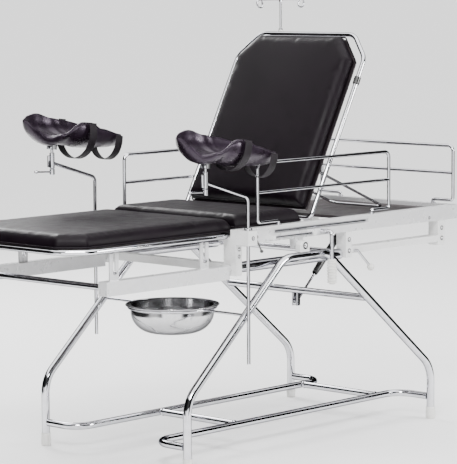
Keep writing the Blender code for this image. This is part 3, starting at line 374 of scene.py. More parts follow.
# %% Shared node groups
FINER_MARKS, MARK_RANGE = 5.3, (0.14, 0.40)
FINER_PORES, PORE_SHARE = 2.6, 0.35


def noise(tree, where, scale, detail):
    """Soft clouds of one size."""
    node = tree.nodes.new("ShaderNodeTexNoise")
    for socket, value in (("Vector", where), ("Scale", scale), ("Detail", detail)):
        feed(tree, node.inputs[socket], value)
    return node.outputs["Fac"]


def marks_group():
    """Clouds at two sizes multiplied: a mask from 0, clean, to 1, handled."""
    group = bpy.data.node_groups.new("Handling marks", "ShaderNodeTree")
    group.interface.new_socket("Scale", in_out="INPUT", socket_type="NodeSocketFloat")
    group.interface.new_socket("Mask", in_out="OUTPUT", socket_type="NodeSocketFloat")
    start, end = group.nodes.new("NodeGroupInput"), group.nodes.new("NodeGroupOutput")
    where = group.nodes.new("ShaderNodeTexCoord").outputs["Object"]
    scale = start.outputs["Scale"]
    broad = noise(group, where, scale, 2)
    fine = noise(group, where, maths(group, "MULTIPLY", scale, FINER_MARKS), 6)
    mask = mapped(group, maths(group, "MULTIPLY", broad, fine), *MARK_RANGE)
    feed(group, end.inputs["Mask"], mask)
    return group


def grain_group():
    """Pebbles from rounded cells, with finer pores on them: a height from 0 to 1."""
    group = bpy.data.node_groups.new("Skin grain", "ShaderNodeTree")
    group.interface.new_socket("Scale", in_out="INPUT", socket_type="NodeSocketFloat")
    group.interface.new_socket("Height", in_out="OUTPUT", socket_type="NodeSocketFloat")
    start, end = group.nodes.new("NodeGroupInput"), group.nodes.new("NodeGroupOutput")
    where = group.nodes.new("ShaderNodeTexCoord").outputs["Object"]
    cells = group.nodes.new("ShaderNodeTexVoronoi")
    cells.feature = "SMOOTH_F1"
    feed(group, cells.inputs["Vector"], where)
    feed(group, cells.inputs["Scale"], start.outputs["Scale"])
    pores = noise(group, where, maths(group, "MULTIPLY", start.outputs["Scale"], FINER_PORES), 4)
    height = maths(group, "MULTIPLY_ADD", pores, PORE_SHARE, cells.outputs["Distance"])
    feed(group, end.inputs["Height"], height)
    return group


MARKS, GRAIN = marks_group(), grain_group()


# %% [markdown]
# A finish mixes a clean and a handled colour by the marks, and carries the roughness along with them. Metal
# also gets a painted dark reflection where its surface turns away, and grained finishes get a bump in real
# depth.

# %% Building a finish
# The first range is the stretch of facing over which the painted dark edge reflection comes in.
PAINTED_EDGE_RANGE, GRAIN_DEPTH = (0.42, 0.80), 0.0006


def finish(name, clean, marked, roughness, metallic=0.0, marks=6.0, grain=None, bump=0.0, edge=None,
           **sockets):
    """A Principled finish whose colour and roughness drift with the marks, with grain for its bump.

    clean and marked are colours, roughness is the pair of values they go with, and grain is the number of
    pebbles in a metre. edge is a painted reflection: the dark colour painted in where the surface turns away,
    standing in for the dark room that bright metal mirrors. Any other named value is set on the shader's own
    socket.
    """
    material = bpy.data.materials.new(name)
    material.use_nodes = True
    tree = material.node_tree
    shader = tree.nodes["Principled BSDF"]
    shader.inputs["Metallic"].default_value = metallic
    for socket, value in sockets.items():
        label = socket.replace("_", " ").title().replace("Ior", "IOR")
        feed(tree, shader.inputs[label], value)
    mask = tree.nodes.new("ShaderNodeGroup")
    mask.node_tree = MARKS
    mask.inputs["Scale"].default_value = marks
    colour = mixed(tree, mask.outputs["Mask"], clean, marked)
    # Painted reflection: towards turned-away edges the base colour is painted dark, as a dark room would show
    # in metal.
    if edge:
        facing = tree.nodes.new("ShaderNodeLayerWeight")
        facing.inputs["Blend"].default_value = 0.5
        painted_edge_share = mapped(tree, facing.outputs["Facing"], *PAINTED_EDGE_RANGE)
        colour = mixed(tree, painted_edge_share, colour, edge)
    feed(tree, shader.inputs["Base Color"], colour)
    feed(tree, shader.inputs["Roughness"], mapped(tree, mask.outputs["Mask"], 0.0, 1.0, *roughness))
    if grain:
        skin = tree.nodes.new("ShaderNodeGroup")
        skin.node_tree = GRAIN
        skin.inputs["Scale"].default_value = grain
        relief = tree.nodes.new("ShaderNodeBump")
        relief.inputs["Strength"].default_value = bump
        relief.inputs["Distance"].default_value = GRAIN_DEPTH
        feed(tree, relief.inputs["Height"], skin.outputs["Height"])
        feed(tree, shader.inputs["Normal"], relief.outputs["Normal"])
    return material


# Chrome's edge colour is a painted dark reflection at its turned-away edges.
CHROME = finish("chrome", (0.74, 0.74, 0.77), (0.62, 0.62, 0.65), (0.05, 0.13), 1.0, marks=9,
                edge=(0.05, 0.05, 0.06), specular_tint=(0.25, 0.25, 0.27))
COATED = finish("coated_rail", (0.80, 0.80, 0.81), (0.72, 0.72, 0.73), (0.26, 0.40), 0.25, marks=7,
                grain=900, bump=0.05, coat_weight=0.3, coat_roughness=0.2)
ENAMEL = finish("white_enamel", (0.84, 0.84, 0.84), (0.76, 0.76, 0.75), (0.22, 0.34), marks=11,
                grain=700, bump=0.06, coat_weight=0.4, coat_roughness=0.12)
VINYL = finish("vinyl", (0.0034, 0.0017, 0.0033), (0.0060, 0.0032, 0.0058), (0.40, 0.54), marks=5,
               grain=1100, bump=0.28, specular_ior_level=0.12)
SHELL = finish("crutch_vinyl", (0.0085, 0.0052, 0.0088), (0.0170, 0.0100, 0.0185), (0.26, 0.38), marks=14,
               grain=900, bump=0.22, specular_ior_level=0.42, specular_tint=(0.95, 0.80, 1.0))
WEBBING = finish("webbing", (0.0060, 0.0042, 0.0060), (0.0150, 0.0105, 0.0150), (0.50, 0.66), marks=40,
                 grain=1500, bump=0.6, specular_ior_level=0.25)
BOARD = finish("laminate", (0.0150, 0.0110, 0.0125), (0.0300, 0.0200, 0.0220), (0.30, 0.48), marks=6,
               grain=600, bump=0.08)
PLASTIC = finish("white_plastic", (0.80, 0.80, 0.78), (0.70, 0.69, 0.66), (0.34, 0.48), marks=16,
                 grain=800, bump=0.10)
# Polished steel's edge colour is a painted dark reflection at its turned-away edges.
STEEL = finish("polished_steel", (0.60, 0.60, 0.61), (0.50, 0.50, 0.51), (0.12, 0.24), 1.0, marks=12,
               edge=(0.16, 0.16, 0.17), specular_tint=(0.4, 0.4, 0.4))
BLACK = finish("black_enamel", (0.012, 0.012, 0.013), (0.030, 0.029, 0.028), (0.20, 0.36), marks=18,
               grain=700, bump=0.05, coat_weight=0.3, coat_roughness=0.15)
print("finishes:", len(bpy.data.materials))

# %% [markdown]
# ## Rails, plates and boards
# The cut and folded pieces already have the right shape in the frame. What they lack is the small round on
# each edge that catches the light. A copy of each one is welded, its coplanar triangles are joined, and a
# narrow bevel runs round its edges. The plain solid then stands down.


# %% Softened plates
def softened(node, slot, material, width=0.0014):
    """A welded copy of a node with its edges rounded, riding on the same body."""
    mesh = frame["nodes"][node].data.copy()
    shell = bmesh.new()
    shell.from_mesh(mesh)
    bmesh.ops.remove_doubles(shell, verts=shell.verts, dist=1e-5)
    bmesh.ops.dissolve_limit(shell, angle_limit=math.radians(0.5), verts=shell.verts, edges=shell.edges)
    shell.to_mesh(mesh)
    shell.free()
    mesh.materials.clear()
    mesh.materials.append(material)
    mesh.shade_smooth()
    mesh.set_sharp_from_angle(angle=math.radians(35))
    piece = bpy.data.objects.new(f"{node}_finished", mesh)
    bpy.context.scene.collection.objects.link(piece)
    edge = piece.modifiers.new("edge", "BEVEL")
    edge.width = width
    edge.segments = 2
    edge.limit_method = "ANGLE"
    edge.angle_limit = math.radians(35)
    edge.harden_normals = True
    return place(piece, frame["nodes"][node]["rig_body"], slot, node)


for side in SIDES:
    softened(f"side_rail_{side}", "rail_steel", COATED)
    softened(f"hanger_{side}", "white_bracket", ENAMEL)
    softened(f"tilt_bracket_{side}", "white_bracket", ENAMEL, 0.003)
    softened(f"crutch_socket_{side}", "white_bracket", ENAMEL, 0.0025)
    softened(f"leg_beam_{side}", "rail_steel", COATED, 0.0010)
for node in ("cross_rail_hinge", "cross_rail_gas", "cross_rail_head"):
    softened(node, "rail_steel", COATED)
softened("end_frame_foot", "white_bracket", ENAMEL)
for node in ("seat_board", "deck_board", "leg_board", "backrest_board"):
    softened(node, "board", BOARD, 0.0012)

# %% [markdown]
# ## Bent tube
# The legs, the floor frame and the guard rails are one family: straight tube with a smooth arc at each
# bend. Only the corners and the bend radii change, so a path helper and a ring are enough. Ends that stand
# in a cap or a rail are hidden, so they stay flat.

# %% Arches and their caps
KNEE = {"foot": 0.235, "head": 0.195}
ARCH_FLAT = {"foot": -0.015, "head": 0.210}
ARCH_BENDS = (0, 0.110, 0.100, 0.090, 0.110, 0)


def spread_of(node):
    """(lowest corner, highest corner, middle) of a node as arrays."""
    low, high = (np.array(corner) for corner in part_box(node))
    return low, high, (low + high) / 2


arch_low, arch_high, arch_middle = spread_of("arch_near")
ARCH_R = (arch_high[1] - arch_low[1]) / 2
ARCH_TOP = arch_high[2] - ARCH_R
ARCH_Y = abs(arch_middle[1])
FOOT_LEG, HEAD_LEG = arch_low[0] + ARCH_R, arch_high[0] - ARCH_R


def arch_height(x, end):
    """Height of the leg's centre line at x, on the foot or the head leg."""
    leg = FOOT_LEG if end == "foot" else HEAD_LEG
    share = (x - ARCH_FLAT[end]) / (leg - ARCH_FLAT[end])
    return ARCH_TOP + share * (KNEE[end] - ARCH_TOP)


for side, sign in SIDES.items():
    y = sign * ARCH_Y
    corners = [
        (FOOT_LEG, y, arch_low[2]),
        (FOOT_LEG, y, KNEE["foot"]),
        (ARCH_FLAT["foot"], y, ARCH_TOP),
        (ARCH_FLAT["head"], y, ARCH_TOP),
        (HEAD_LEG, y, KNEE["head"]),
        (HEAD_LEG, y, arch_low[2]),
    ]
    arch = tube(f"arch_tube_{side}", bent(corners, ARCH_BENDS, steps=20), ARCH_R, CHROME)
    place(arch, "base", "chrome_tube", f"arch_{side}")
    for end in ("foot", "head"):
        node = f"foot_cap_{end}_{side}"
        low, high, centre = spread_of(node)
        radius, tall = (high[0] - low[0]) / 2, high[2]
        profile = [(0, 0), (radius - 0.003, 0), (radius - 0.0005, 0.002), (radius, 0.005)]
        profile += [(radius, tall * 0.62), (radius - 0.001, tall * 0.66), (radius - 0.001, tall - 0.002)]
        profile += [(radius - 0.002, tall), (ARCH_R + GAP, tall), (ARCH_R + GAP, 0.006), (0, 0.006)]
        cap = turned(f"{node}_moulded", profile, (centre[0], centre[1], 0), PLASTIC)
        place(cap, "base", "white_cap", node)
print("arch radius", round(ARCH_R, 4), "top at", round(ARCH_TOP, 3))

# %% [markdown]
# The floor frame is one level loop in two halves with two cross tubes, and a bead of weld where they meet.
# The brace between the head legs carries two ears for the gas spring's lower pin.

# %% Floor frame and brace
floor_low, floor_high = spread_of("floor_frame")[:2]
FLOOR_R = (floor_high[2] - floor_low[2]) / 2
FLOOR_Z = floor_low[2] + FLOOR_R
FLOOR_INNER = ARCH_Y - 0.158
FLOOR_CROSS, CROSS_R = (-0.085, 0.680), FLOOR_R * 0.96
WELD_BEAD = [(CROSS_R, 0), (FLOOR_R * 1.12, 0.0015), (FLOOR_R * 1.05, 0.004), (CROSS_R, 0.006)]
reach = floor_high[1]
rails = []
for side, sign in SIDES.items():
    corners = [(FOOT_LEG, sign * reach), (FOOT_LEG, sign * FLOOR_INNER)]
    corners += [(HEAD_LEG, sign * FLOOR_INNER), (HEAD_LEG, sign * reach)]
    path = bent([(x, y, FLOOR_Z) for x, y in corners], 0.070)
    rails.append(tube(f"floor_rail_{side}", path, FLOOR_R, CHROME, plane=(0, 0, 1)))
for index, x in enumerate(FLOOR_CROSS):
    ends = [(x, -FLOOR_INNER, FLOOR_Z), (x, FLOOR_INNER, FLOOR_Z)]
    rails.append(bar_between(f"floor_cross_{index}", *ends, CROSS_R, CHROME))
    for sign in SIDES.values():
        start = sign * (FLOOR_INNER - FLOOR_R)
        bead = [(r, -sign * h) for r, h in WELD_BEAD]
        rails.append(turned("weld", bead, (x, start, FLOOR_Z), CHROME, axis="y", sides=24, closed=True))
place(joined("floor_frame_tubes", rails), "base", "chrome_tube", "floor_frame")

brace_low, brace_high, brace_middle = spread_of("upper_brace")
BRACE_X = brace_middle[0]
BRACE_Z = arch_height(BRACE_X, "head")
ends = [(BRACE_X, brace_low[1], BRACE_Z), (BRACE_X, brace_high[1], BRACE_Z)]
parts = [bar_between("brace", *ends, FLOOR_R, CHROME)]
EAR_WALL, EAR_INSIDE, EAR_WIDE = 0.005, 0.0076, 0.020
PIN_LOW = (0.437, 0.438)
for sign in SIDES.values():
    y = sign * (EAR_INSIDE + EAR_WALL / 2)
    drop = [(PIN_LOW[0], y, BRACE_Z), (PIN_LOW[0], y, PIN_LOW[1] - EAR_WIDE / 2)]
    parts.append(tube("ear", drop, 0, CHROME, ring=strip(EAR_WALL, EAR_WIDE)))
pin = [(0, -0.0145), (0.0065, -0.0145), (0.0065, -0.0130), (0.004, -0.0130)]
parts.append(turned("pin", mirrored(pin), (PIN_LOW[0], 0, PIN_LOW[1]), CHROME, axis="y", sides=20))
place(joined("upper_brace_tube", parts), "base", "chrome_tube", "upper_brace")
print("floor tube radius", round(FLOOR_R, 4), "brace height", round(BRACE_Z, 3))

# %% [markdown]
# ## Guard rails and frames that lift off
# A guard rail is a bent outer bar with one bar across its middle. Its feet step inwards along the rail
# before they drop into it, which is what keeps the posts clear of the pads. The drip pole is a thick tube
# with a collar, a thin rod inside it, and a cross bar whose ends are coiled into hooks.

# %% Guards
GUARD_R = 0.006
GUARD_LOW, GUARD_MID, GUARD_TOP = 0.797, 0.899, 1.000
GUARD_BENDS = (0, 0.008, 0.012, 0.022, 0.022, 0.012, 0.008, 0)
GUARD_COLLAR = [(GUARD_R, 0), (0.0098, 0.0002), (0.0098, 0.0028), (0.0088, 0.0040), (GUARD_R, 0.0044)]


def guard(node, across, feet, where, plane):
    """A guard rail whose points are where(along, height)."""
    bottom = spread_of(node)[0][2]
    (left, right), (foot_left, foot_right) = across, feet
    outline = [(foot_left, bottom), (foot_left, GUARD_LOW), (left, GUARD_LOW), (left, GUARD_TOP)]
    outline += [(right, GUARD_TOP), (right, GUARD_LOW), (foot_right, GUARD_LOW), (foot_right, bottom)]
    path = bent([where(a, b) for a, b in outline], GUARD_BENDS, steps=10)
    bar = [where(left, GUARD_MID), where(right, GUARD_MID)]
    pieces = [tube("outer", path, GUARD_R, CHROME, plane), tube("bar", bar, GUARD_R * 0.9, CHROME, plane)]
    for along in (foot_left, foot_right):
        x, y, z = where(along, RAIL_TOP)
        pieces.append(turned("collar", GUARD_COLLAR, (x, y, z + GAP), CHROME, sides=24, closed=True))
    return joined(f"{node}_rail", pieces)


RAIL_TOP = spread_of("side_rail_near")[1][2]
GUARD_X = tuple(spread_of("guard_near")[i][0] + s * GUARD_R for i, s in ((0, 1), (1, -1)))
GUARD_FEET, HEAD_FEET = (-0.016, 0.480), (-0.227, 0.227)
for side in SIDES:
    y = spread_of(f"guard_{side}")[2][1]
    piece = guard(f"guard_{side}", GUARD_X, GUARD_FEET, lambda a, b, y=y: (a, y, b), (0, 1, 0))
    place(piece, f"guard_{side}", "chrome_tube", f"guard_{side}")
head_high, head_middle = spread_of("guard_head")[1:]
GUARD_Y = head_high[1] - GUARD_R
piece = guard("guard_head", (-GUARD_Y, GUARD_Y), HEAD_FEET, lambda a, b: (head_middle[0], a, b), (1, 0, 0))
place(piece, "guard_head", "chrome_tube", "guard_head")
print("guards from", GUARD_LOW, "to", GUARD_TOP)

# %% [markdown]
# The drip pole is turned as a hollow profile. Its hooks are one wire: a curl, a straight bar, and the same
# curl mirrored.

# %% Drip pole
pole_low, pole_high, pole_middle = spread_of("drip_pole_tube")
DRIP_X, DRIP_Y = pole_middle[0], pole_middle[1]
DRIP_R, DRIP_BORE = 0.0080, 0.0050
DRIP_FIT, BAND_R, COLLAR_R = DRIP_R + 0.0002, DRIP_R + 0.0035, 0.0116
neck = pole_high[2] - 0.030
profile = [(DRIP_BORE, pole_low[2]), (DRIP_R, pole_low[2]), (DRIP_R, pole_high[2]), (DRIP_BORE, pole_high[2])]
pole = turned("pole", profile, (DRIP_X, DRIP_Y, 0), CHROME, sides=28, closed=True)
place(pole, "top", "chrome_tube", "drip_pole_tube")
profile = [(DRIP_FIT, neck), (COLLAR_R - 0.001, neck), (COLLAR_R, neck + 0.002)]
profile += [(COLLAR_R, neck + 0.020), (COLLAR_R - 0.002, neck + 0.026), (DRIP_FIT, neck + 0.026)]
collar = turned("drip_pole_collar", profile, (DRIP_X, DRIP_Y, 0), PLASTIC, sides=28, closed=True)
place(collar, "top", "white_cap")
for height in (RAIL_TOP - 0.012, RAIL_TOP - 0.040):
    band = mirrored([(DRIP_FIT, -0.007), (BAND_R, -0.006)])
    piece = turned(f"pole_band_{height:.3f}", band, (DRIP_X, DRIP_Y, height), ENAMEL, sides=28, closed=True)
    place(piece, "top", "white_bracket")

rod_low, rod_high = spread_of("drip_pole_rod")[:2]
WIRE_R, HOOK_R, STEM_R = 0.0030, 0.0150, 0.0042
bar_half = (rod_high[0] - rod_low[0]) / 2 - HOOK_R - WIRE_R
bar_z = rod_high[2] - WIRE_R
turn = np.linspace(math.radians(90), math.radians(-235), 40)
drop = HOOK_R - HOOK_R * np.sin(turn) + 0.006 * np.sin(turn / 2) ** 8
curl = np.stack([HOOK_R * np.cos(turn), bar_z - drop], axis=1)
left = curl * (-1, 1) + (-bar_half, 0)
right = curl + (bar_half, 0)
outline = np.concatenate([left[::-1], right])
path = np.stack([DRIP_X + outline[:, 0], 0 * outline[:, 0] + DRIP_Y, outline[:, 1]], axis=1)
hooks = tube("hooks", path, WIRE_R, CHROME)
stem = tube("stem", [(DRIP_X, DRIP_Y, rod_low[2]), (DRIP_X, DRIP_Y, bar_z)], STEM_R, CHROME)
cap = [(0, 0.003), (0.005, 0.001), (0.0062, -0.004), (0.0062, -0.010), (STEM_R, -0.012)]
cap = turned("cap", cap, (DRIP_X, DRIP_Y, bar_z), CHROME, sides=24)
place(joined("drip_rod_and_hooks", [hooks, stem, cap]), "drip_rod", "chrome_tube", "drip_pole_rod")
print("drip hooks at", round(bar_z, 3))

# %% [markdown]
# ## Stuffed pads
# A pad is foam on a board under a stretched cover. Its outline is a rectangle with its far corners cut
# off. The cover's height over the board grows from nothing at the rim like a superellipse, which gives a
# nearly upright side and a rounded shoulder, and the middle is crowned. A short cloth run then lets air
# pressure push the cover out, so that its sides pull in at the corners. The seam is laid on afterwards.


# %% The pad form
SHOULDER, CROWN, SWELL = 0.030, 0.004, 0.006
PAD_IN, PAD_FILL, WELT_R = 0.001, 0.9, 0.0026


def edge_distance(x, y, span, half, cut):
    """Distance from (x, y) in to the nearest side of a rectangle whose corners at span[0] are cut off."""
    inward = half - np.abs(y)
    sides = np.minimum(np.minimum(x - span[0], span[1] - x), inward)
    along, across = cut
    if along:
        slant = (x - span[0]) * across + inward * along - along * across
        sides = np.minimum(sides, slant / math.hypot(along, across))
    return np.maximum(sides, 0)


def pad_points(span, half, cut, low, high, shoulder, crown, rows=110, columns=90):
    """Top and bottom sheets over the same grid; both meet at the rim."""
    along = (1 - np.cos(np.linspace(0, np.pi, rows))) / 2
    across = -np.cos(np.linspace(0, np.pi, columns))
    x = span[0] + along * (span[1] - span[0])
    wide = half - np.clip(cut[1] * (1 - (x - span[0]) / max(cut[0], 1e-9)), 0, cut[1]) * bool(cut[0])
    x, y = x[:, None] + 0 * across, wide[:, None] * across
    near = np.minimum(edge_distance(x, y, span, half, cut) / shoulder, 1)
    rise = (1 - (1 - near) ** 2.6) ** (1 / 2.1)
    dome = crown * (1 - ((x - sum(span) / 2) * 2 / (span[1] - span[0])) ** 2) * (1 - (y / half) ** 2)
    rim = np.exp(-((edge_distance(x, y, span, half, cut) / 0.022) ** 2))
    pucker = 0.0011 * rim * np.sin(x * 210 + 2 * np.sin(y * 37)) * np.sin(y * 190 + 2 * np.sin(x * 41))
    top = low + (high - low) * rise + dome * near + pucker * near
    return np.stack([x, y, top], -1), np.stack([x, y, 0 * x + low], -1)


def pad_mesh(name, sheets, material):
    """The two sheets closed into one skin."""
    top, bottom = sheets
    rows, columns = top.shape[:2]
    faces = grid_faces(rows, columns)
    both = [[corner + rows * columns for corner in face] for face in faces]
    return build(name, np.concatenate([top, bottom]), faces + both, material, 60)


def cut_outline(plain, cut_end, half, cut):
    """Corners of a rectangle whose corners at one end are cut off, listed from its plain end."""
    slant = cut_end + math.copysign(cut[0], plain - cut_end)
    near = [(plain, -half), (slant, -half), (cut_end, -half + cut[1])]
    return near + [(x, -y) for x, y in reversed(near)]


# %% [markdown]
# The cloth run works on a copy made of even small squares. Air pressure swells it, gravity is off, and no
# point may move further than the cap allows, so the pad keeps to its place. What rests on the board is
# held down afterwards.


# %% Air under the cover
def plump(piece, cap, floor_height, frames=18, voxel=0.0062):
    """Swells a flat-lying pad by air pressure, moving no point further than the cap."""
    bpy.context.view_layer.objects.active = piece
    remesh = piece.modifiers.new("even", "REMESH")
    remesh.mode = "VOXEL"
    remesh.voxel_size = voxel
    bpy.ops.object.modifier_apply(modifier=remesh.name)
    count = len(piece.data.vertices)
    before = np.empty(count * 3)
    piece.data.vertices.foreach_get("co", before)
    before = before.reshape(-1, 3)
    cloth = piece.modifiers.new("air", "CLOTH")
    cloth.settings.use_pressure = True
    cloth.settings.uniform_pressure_force = 4
    cloth.settings.effector_weights.gravity = 0
    cloth.settings.tension_stiffness = 25
    cloth.settings.compression_stiffness = 25
    cloth.settings.bending_stiffness = 1.5
    cloth.collision_settings.use_collision = False
    cloth.point_cache.frame_end = frames
    for step in range(1, frames + 1):
        bpy.context.scene.frame_set(step)
    after = np.empty(count * 3)
    settled = piece.evaluated_get(bpy.context.evaluated_depsgraph_get()).to_mesh()
    settled.vertices.foreach_get("co", after)
    piece.modifiers.remove(cloth)
    bpy.context.scene.frame_set(1)
    move = after.reshape(-1, 3) - before
    length = np.linalg.norm(move, axis=1, keepdims=True)
    move *= np.minimum(1, cap / np.maximum(length, 1e-9))
    settled_points = before + move
    settled_points[:, 2] = np.maximum(settled_points[:, 2], floor_height)
    piece.data.vertices.foreach_set("co", settled_points.ravel())
    piece.data.shade_smooth()
    piece.data.update()
    print(piece.name, "moved at most", round(float(np.linalg.norm(move, axis=1).max()) * 1000, 1), "mm")
    return piece


def swung(piece, angle, pivot):
    """Turns a finished mesh about the Y axis through the pivot."""
    turn = Matrix.Translation(pivot) @ Matrix.Rotation(angle, 4, "Y") @ Matrix.Translation(-Vector(pivot))
    piece.data.transform(turn)
    return piece


def welt(name, span, half, cut, height):
    """The piped seam that follows the pad's outline at one height."""
    if cut[0]:
        outline = cut_outline(span[1], span[0], half, cut)
    else:
        outline = [(span[1], -half), (span[0], -half), (span[0], half), (span[1], half)]
    path = bent([(x, y, height) for x, y in outline], 0.014, closed=True, steps=8)
    return tube(name, path, WELT_R, VINYL, plane=(0, 0, 1), closed=True)


# %% [markdown]
# Two of the pads lie flat, so one function makes both: sheets, skin, air, and then the seam.

# %% Leg pad and seat pad
LEG_CUT = (0.075, 0.075)


def flat_pad(name, node, body, cut, rows, seam_in):
    """A plumped pad with its seam, in the place of a node that lies flat."""
    low, high = spread_of(node)[:2]
    span = (low[0] + PAD_IN, high[0] - PAD_IN)
    top = high[2] - 0.003
    sheets = pad_points(span, high[1] - PAD_IN, cut, low[2], top, SHOULDER, CROWN, rows=rows)
    cushion = plump(pad_mesh(name, sheets, VINYL), SWELL, low[2])
    place(cushion, body, "vinyl", node)
    place(welt(f"{name}_seam", span, high[1] - seam_in, cut, low[2] + 0.0045), body, "vinyl")


flat_pad("leg_cushion", "leg_pad", "leg_top", LEG_CUT, 110, 0.0)
flat_pad("seat_cushion", "seat_pad", "top", (0, 0), 80, PAD_IN)

# %% [markdown]
# ## The backrest
# It is worked out lying flat, its cut corners at the foot of the grid, then turned end for end and swung
# up about the hinge. The tube frame goes round it with a small gap, and a clip holds the cover's pull strap.

# %% Backrest
FRAME_LENGTH, FRAME_HALF, FRAME_R = 0.712, 0.305, 0.008
HINGE = (0.170, 0.0, spread_of("backrest_frame")[0][2] + FRAME_R)
BACK_ANGLE = math.radians(62)
BACK_START, BACK_END, BACK_HALF = 0.198, 0.866, 0.277
BACK_CUT = (0.092, 0.082)
BOARD_THICK, BACK_THICK = 0.011, 0.047
BACK_BASE = HINGE[2] - FRAME_R + BOARD_THICK + GAP
BACK_SHOULDER, BACK_CROWN, BACK_SWELL = 0.026, 0.007, 0.007
span = (0.0, BACK_END - BACK_START)
top = BACK_BASE + BACK_THICK - 0.004
sheets = pad_points(span, BACK_HALF, BACK_CUT, BACK_BASE, top, BACK_SHOULDER, BACK_CROWN)
for sheet in sheets:
    sheet[..., 0] = BACK_END - sheet[..., 0]
back = plump(pad_mesh("backrest_cushion", sheets, VINYL), BACK_SWELL, BACK_BASE)
place(swung(back, -BACK_ANGLE, HINGE), "backrest", "vinyl", "backrest_pad")
seam = welt("backrest_cushion_seam", span, BACK_HALF, BACK_CUT, BACK_BASE + 0.006)
seam.data.transform(Matrix.Translation((BACK_END, 0, 0)) @ Matrix.Scale(-1, 4, (1, 0, 0)))
seam.data.flip_normals()
place(swung(seam, -BACK_ANGLE, HINGE), "backrest", "vinyl")

corners = cut_outline(HINGE[0], HINGE[0] + FRAME_LENGTH, FRAME_HALF, BACK_CUT)
path = bent([(x, y, HINGE[2]) for x, y in corners], (0.02, 0.06, 0.06, 0.06, 0.06, 0.02), closed=True)
rim = tube("backrest_tube", path, FRAME_R, CHROME, plane=(0, 0, 1), closed=True)
place(swung(rim, -BACK_ANGLE, HINGE), "backrest", "chrome_tube", "backrest_frame")
CLIP_AT, CLIP_LENGTH = 0.531, 0.030
clip = mirrored([(FRAME_R + GAP, -CLIP_LENGTH / 2), (FRAME_R + 0.004, -CLIP_LENGTH / 2 + 0.002)])
clip_place = (HINGE[0] + CLIP_AT, -FRAME_HALF, HINGE[2])
clip = turned("backrest_clip", clip, clip_place, BLACK, axis="x", closed=True)
place(swung(clip, -BACK_ANGLE, HINGE), "backrest", "black_steel")
print("backrest hinge", [round(float(value), 4) for value in HINGE])

# %% [markdown]
# The leg pad's frame is a loop with the same cut corners as its pad. Four short hooks step over the beams,
# and they come away with the frame when it lifts.

# %% Leg frame with its hooks
LEG_TUBE_R = 0.009
frame_low, frame_high = spread_of("leg_frame")[:2]
LEG_TUBE_Z = frame_high[2] - LEG_TUBE_R
wide = frame_high[1] - LEG_TUBE_R
foot, head = frame_low[0] + LEG_TUBE_R, frame_high[0] - LEG_TUBE_R
corners = cut_outline(head, foot, wide, LEG_CUT)
path = bent([(x, y, LEG_TUBE_Z) for x, y in corners], (0.03, 0.07, 0.07, 0.07, 0.07, 0.03), closed=True)
pieces = [tube("rim", path, LEG_TUBE_R, CHROME, plane=(0, 0, 1), closed=True)]
HOOKS = {"near": (-0.780, -0.363), "far": (-0.630, -0.290)}
HOOK_BAR, HOOK_SEAT, HOOK_INSIDE = 0.008, 0.681, 0.295
for side, sign in SIDES.items():
    for x in HOOKS[side]:
        inner = HOOK_INSIDE - HOOK_BAR / 2 + 0.001
        bar = [(x, sign * wide, LEG_TUBE_Z), (x, sign * inner, LEG_TUBE_Z)]
        bar += [(x, sign * inner, HOOK_SEAT + 0.005), (x, sign * (HOOK_INSIDE + 0.014), HOOK_SEAT + 0.005)]
        pieces.append(tube("hook", bent(bar, (0, 0.006, 0.005, 0)), HOOK_BAR / 2, CHROME, plane=(1, 0, 0)))
place(joined("leg_frame_tube", pieces), "leg_top", "chrome_tube", "leg_frame")
print("leg frame tube height", round(LEG_TUBE_Z, 4))

# %% [markdown]
# ## Telescopes, stay and gas spring
# These are plain bars and turned pieces; what makes them read is the bore in a sleeve, the boot on the
# cylinder and the neat pin at each end.

# %% Straight tubes under the top
SLEEVE_BORE, SLEEVE_LIP = 0.0136, 0.0012
for side, sign in SIDES.items():
    low, high, middle = spread_of(f"telescope_sleeve_{side}")
    outer, length = (high[2] - low[2]) / 2, high[0] - low[0]
    profile = [(SLEEVE_BORE, 0), (outer - SLEEVE_LIP, 0), (outer, SLEEVE_LIP), (outer, length - SLEEVE_LIP)]
    profile += [(outer - SLEEVE_LIP, length), (SLEEVE_BORE, length)]
    piece = turned(f"sleeve_{side}", profile, (low[0], middle[1], middle[2]), CHROME, axis="x", closed=True)
    place(piece, "top", "chrome_tube", f"telescope_sleeve_{side}")


def straight(name, node, body, slot, material):
    """A round bar across the table in a node's place."""
    low, high, middle = spread_of(node)
    ends = [(middle[0], low[1], middle[2]), (middle[0], high[1], middle[2])]
    piece = bar_between(name, *ends, (high[2] - low[2]) / 2, material)
    return place(piece, body, slot, node)


straight("hanger_cross_tube", "hanger_tie", "top", "chrome_tube", CHROME)
straight("leg_cross_tube", "leg_end_tube", "leg_beams", "chrome_tube", CHROME)
print("sleeves and cross tubes:", len(SIDES) + 2)

# %% [markdown]
# The stay is a wire bent into a U with turned-in toes. It is laid out level and then dipped to the deck.

# %% Prop stay
PROP_R, PROP_HALF, PROP_LENGTH, PROP_TOE = 0.0048, 0.125, 0.540, 0.020
PROP_PIVOT = (0.28958, 0.0, 0.98155)
PROP_DIP = math.radians(22.5455)
x0, z0 = PROP_PIVOT[0], PROP_PIVOT[2]
corners = [(x0, -PROP_HALF + PROP_TOE), (x0, -PROP_HALF), (x0 + PROP_LENGTH, -PROP_HALF)]
corners += [(x, -y) for x, y in reversed(corners)]
path = bent([(x, y, z0) for x, y in corners], (0, 0.012, 0.030, 0.030, 0.012, 0))
stay = swung(tube("stay", path, PROP_R, CHROME, plane=(0, 0, 1)), PROP_DIP, PROP_PIVOT)
place(stay, "prop", "chrome_tube", "prop_stay")
print("stay length", PROP_LENGTH)

# %% [markdown]
# Rod and cylinder are turned about the X axis, each from its own pin, and laid on the line between them.

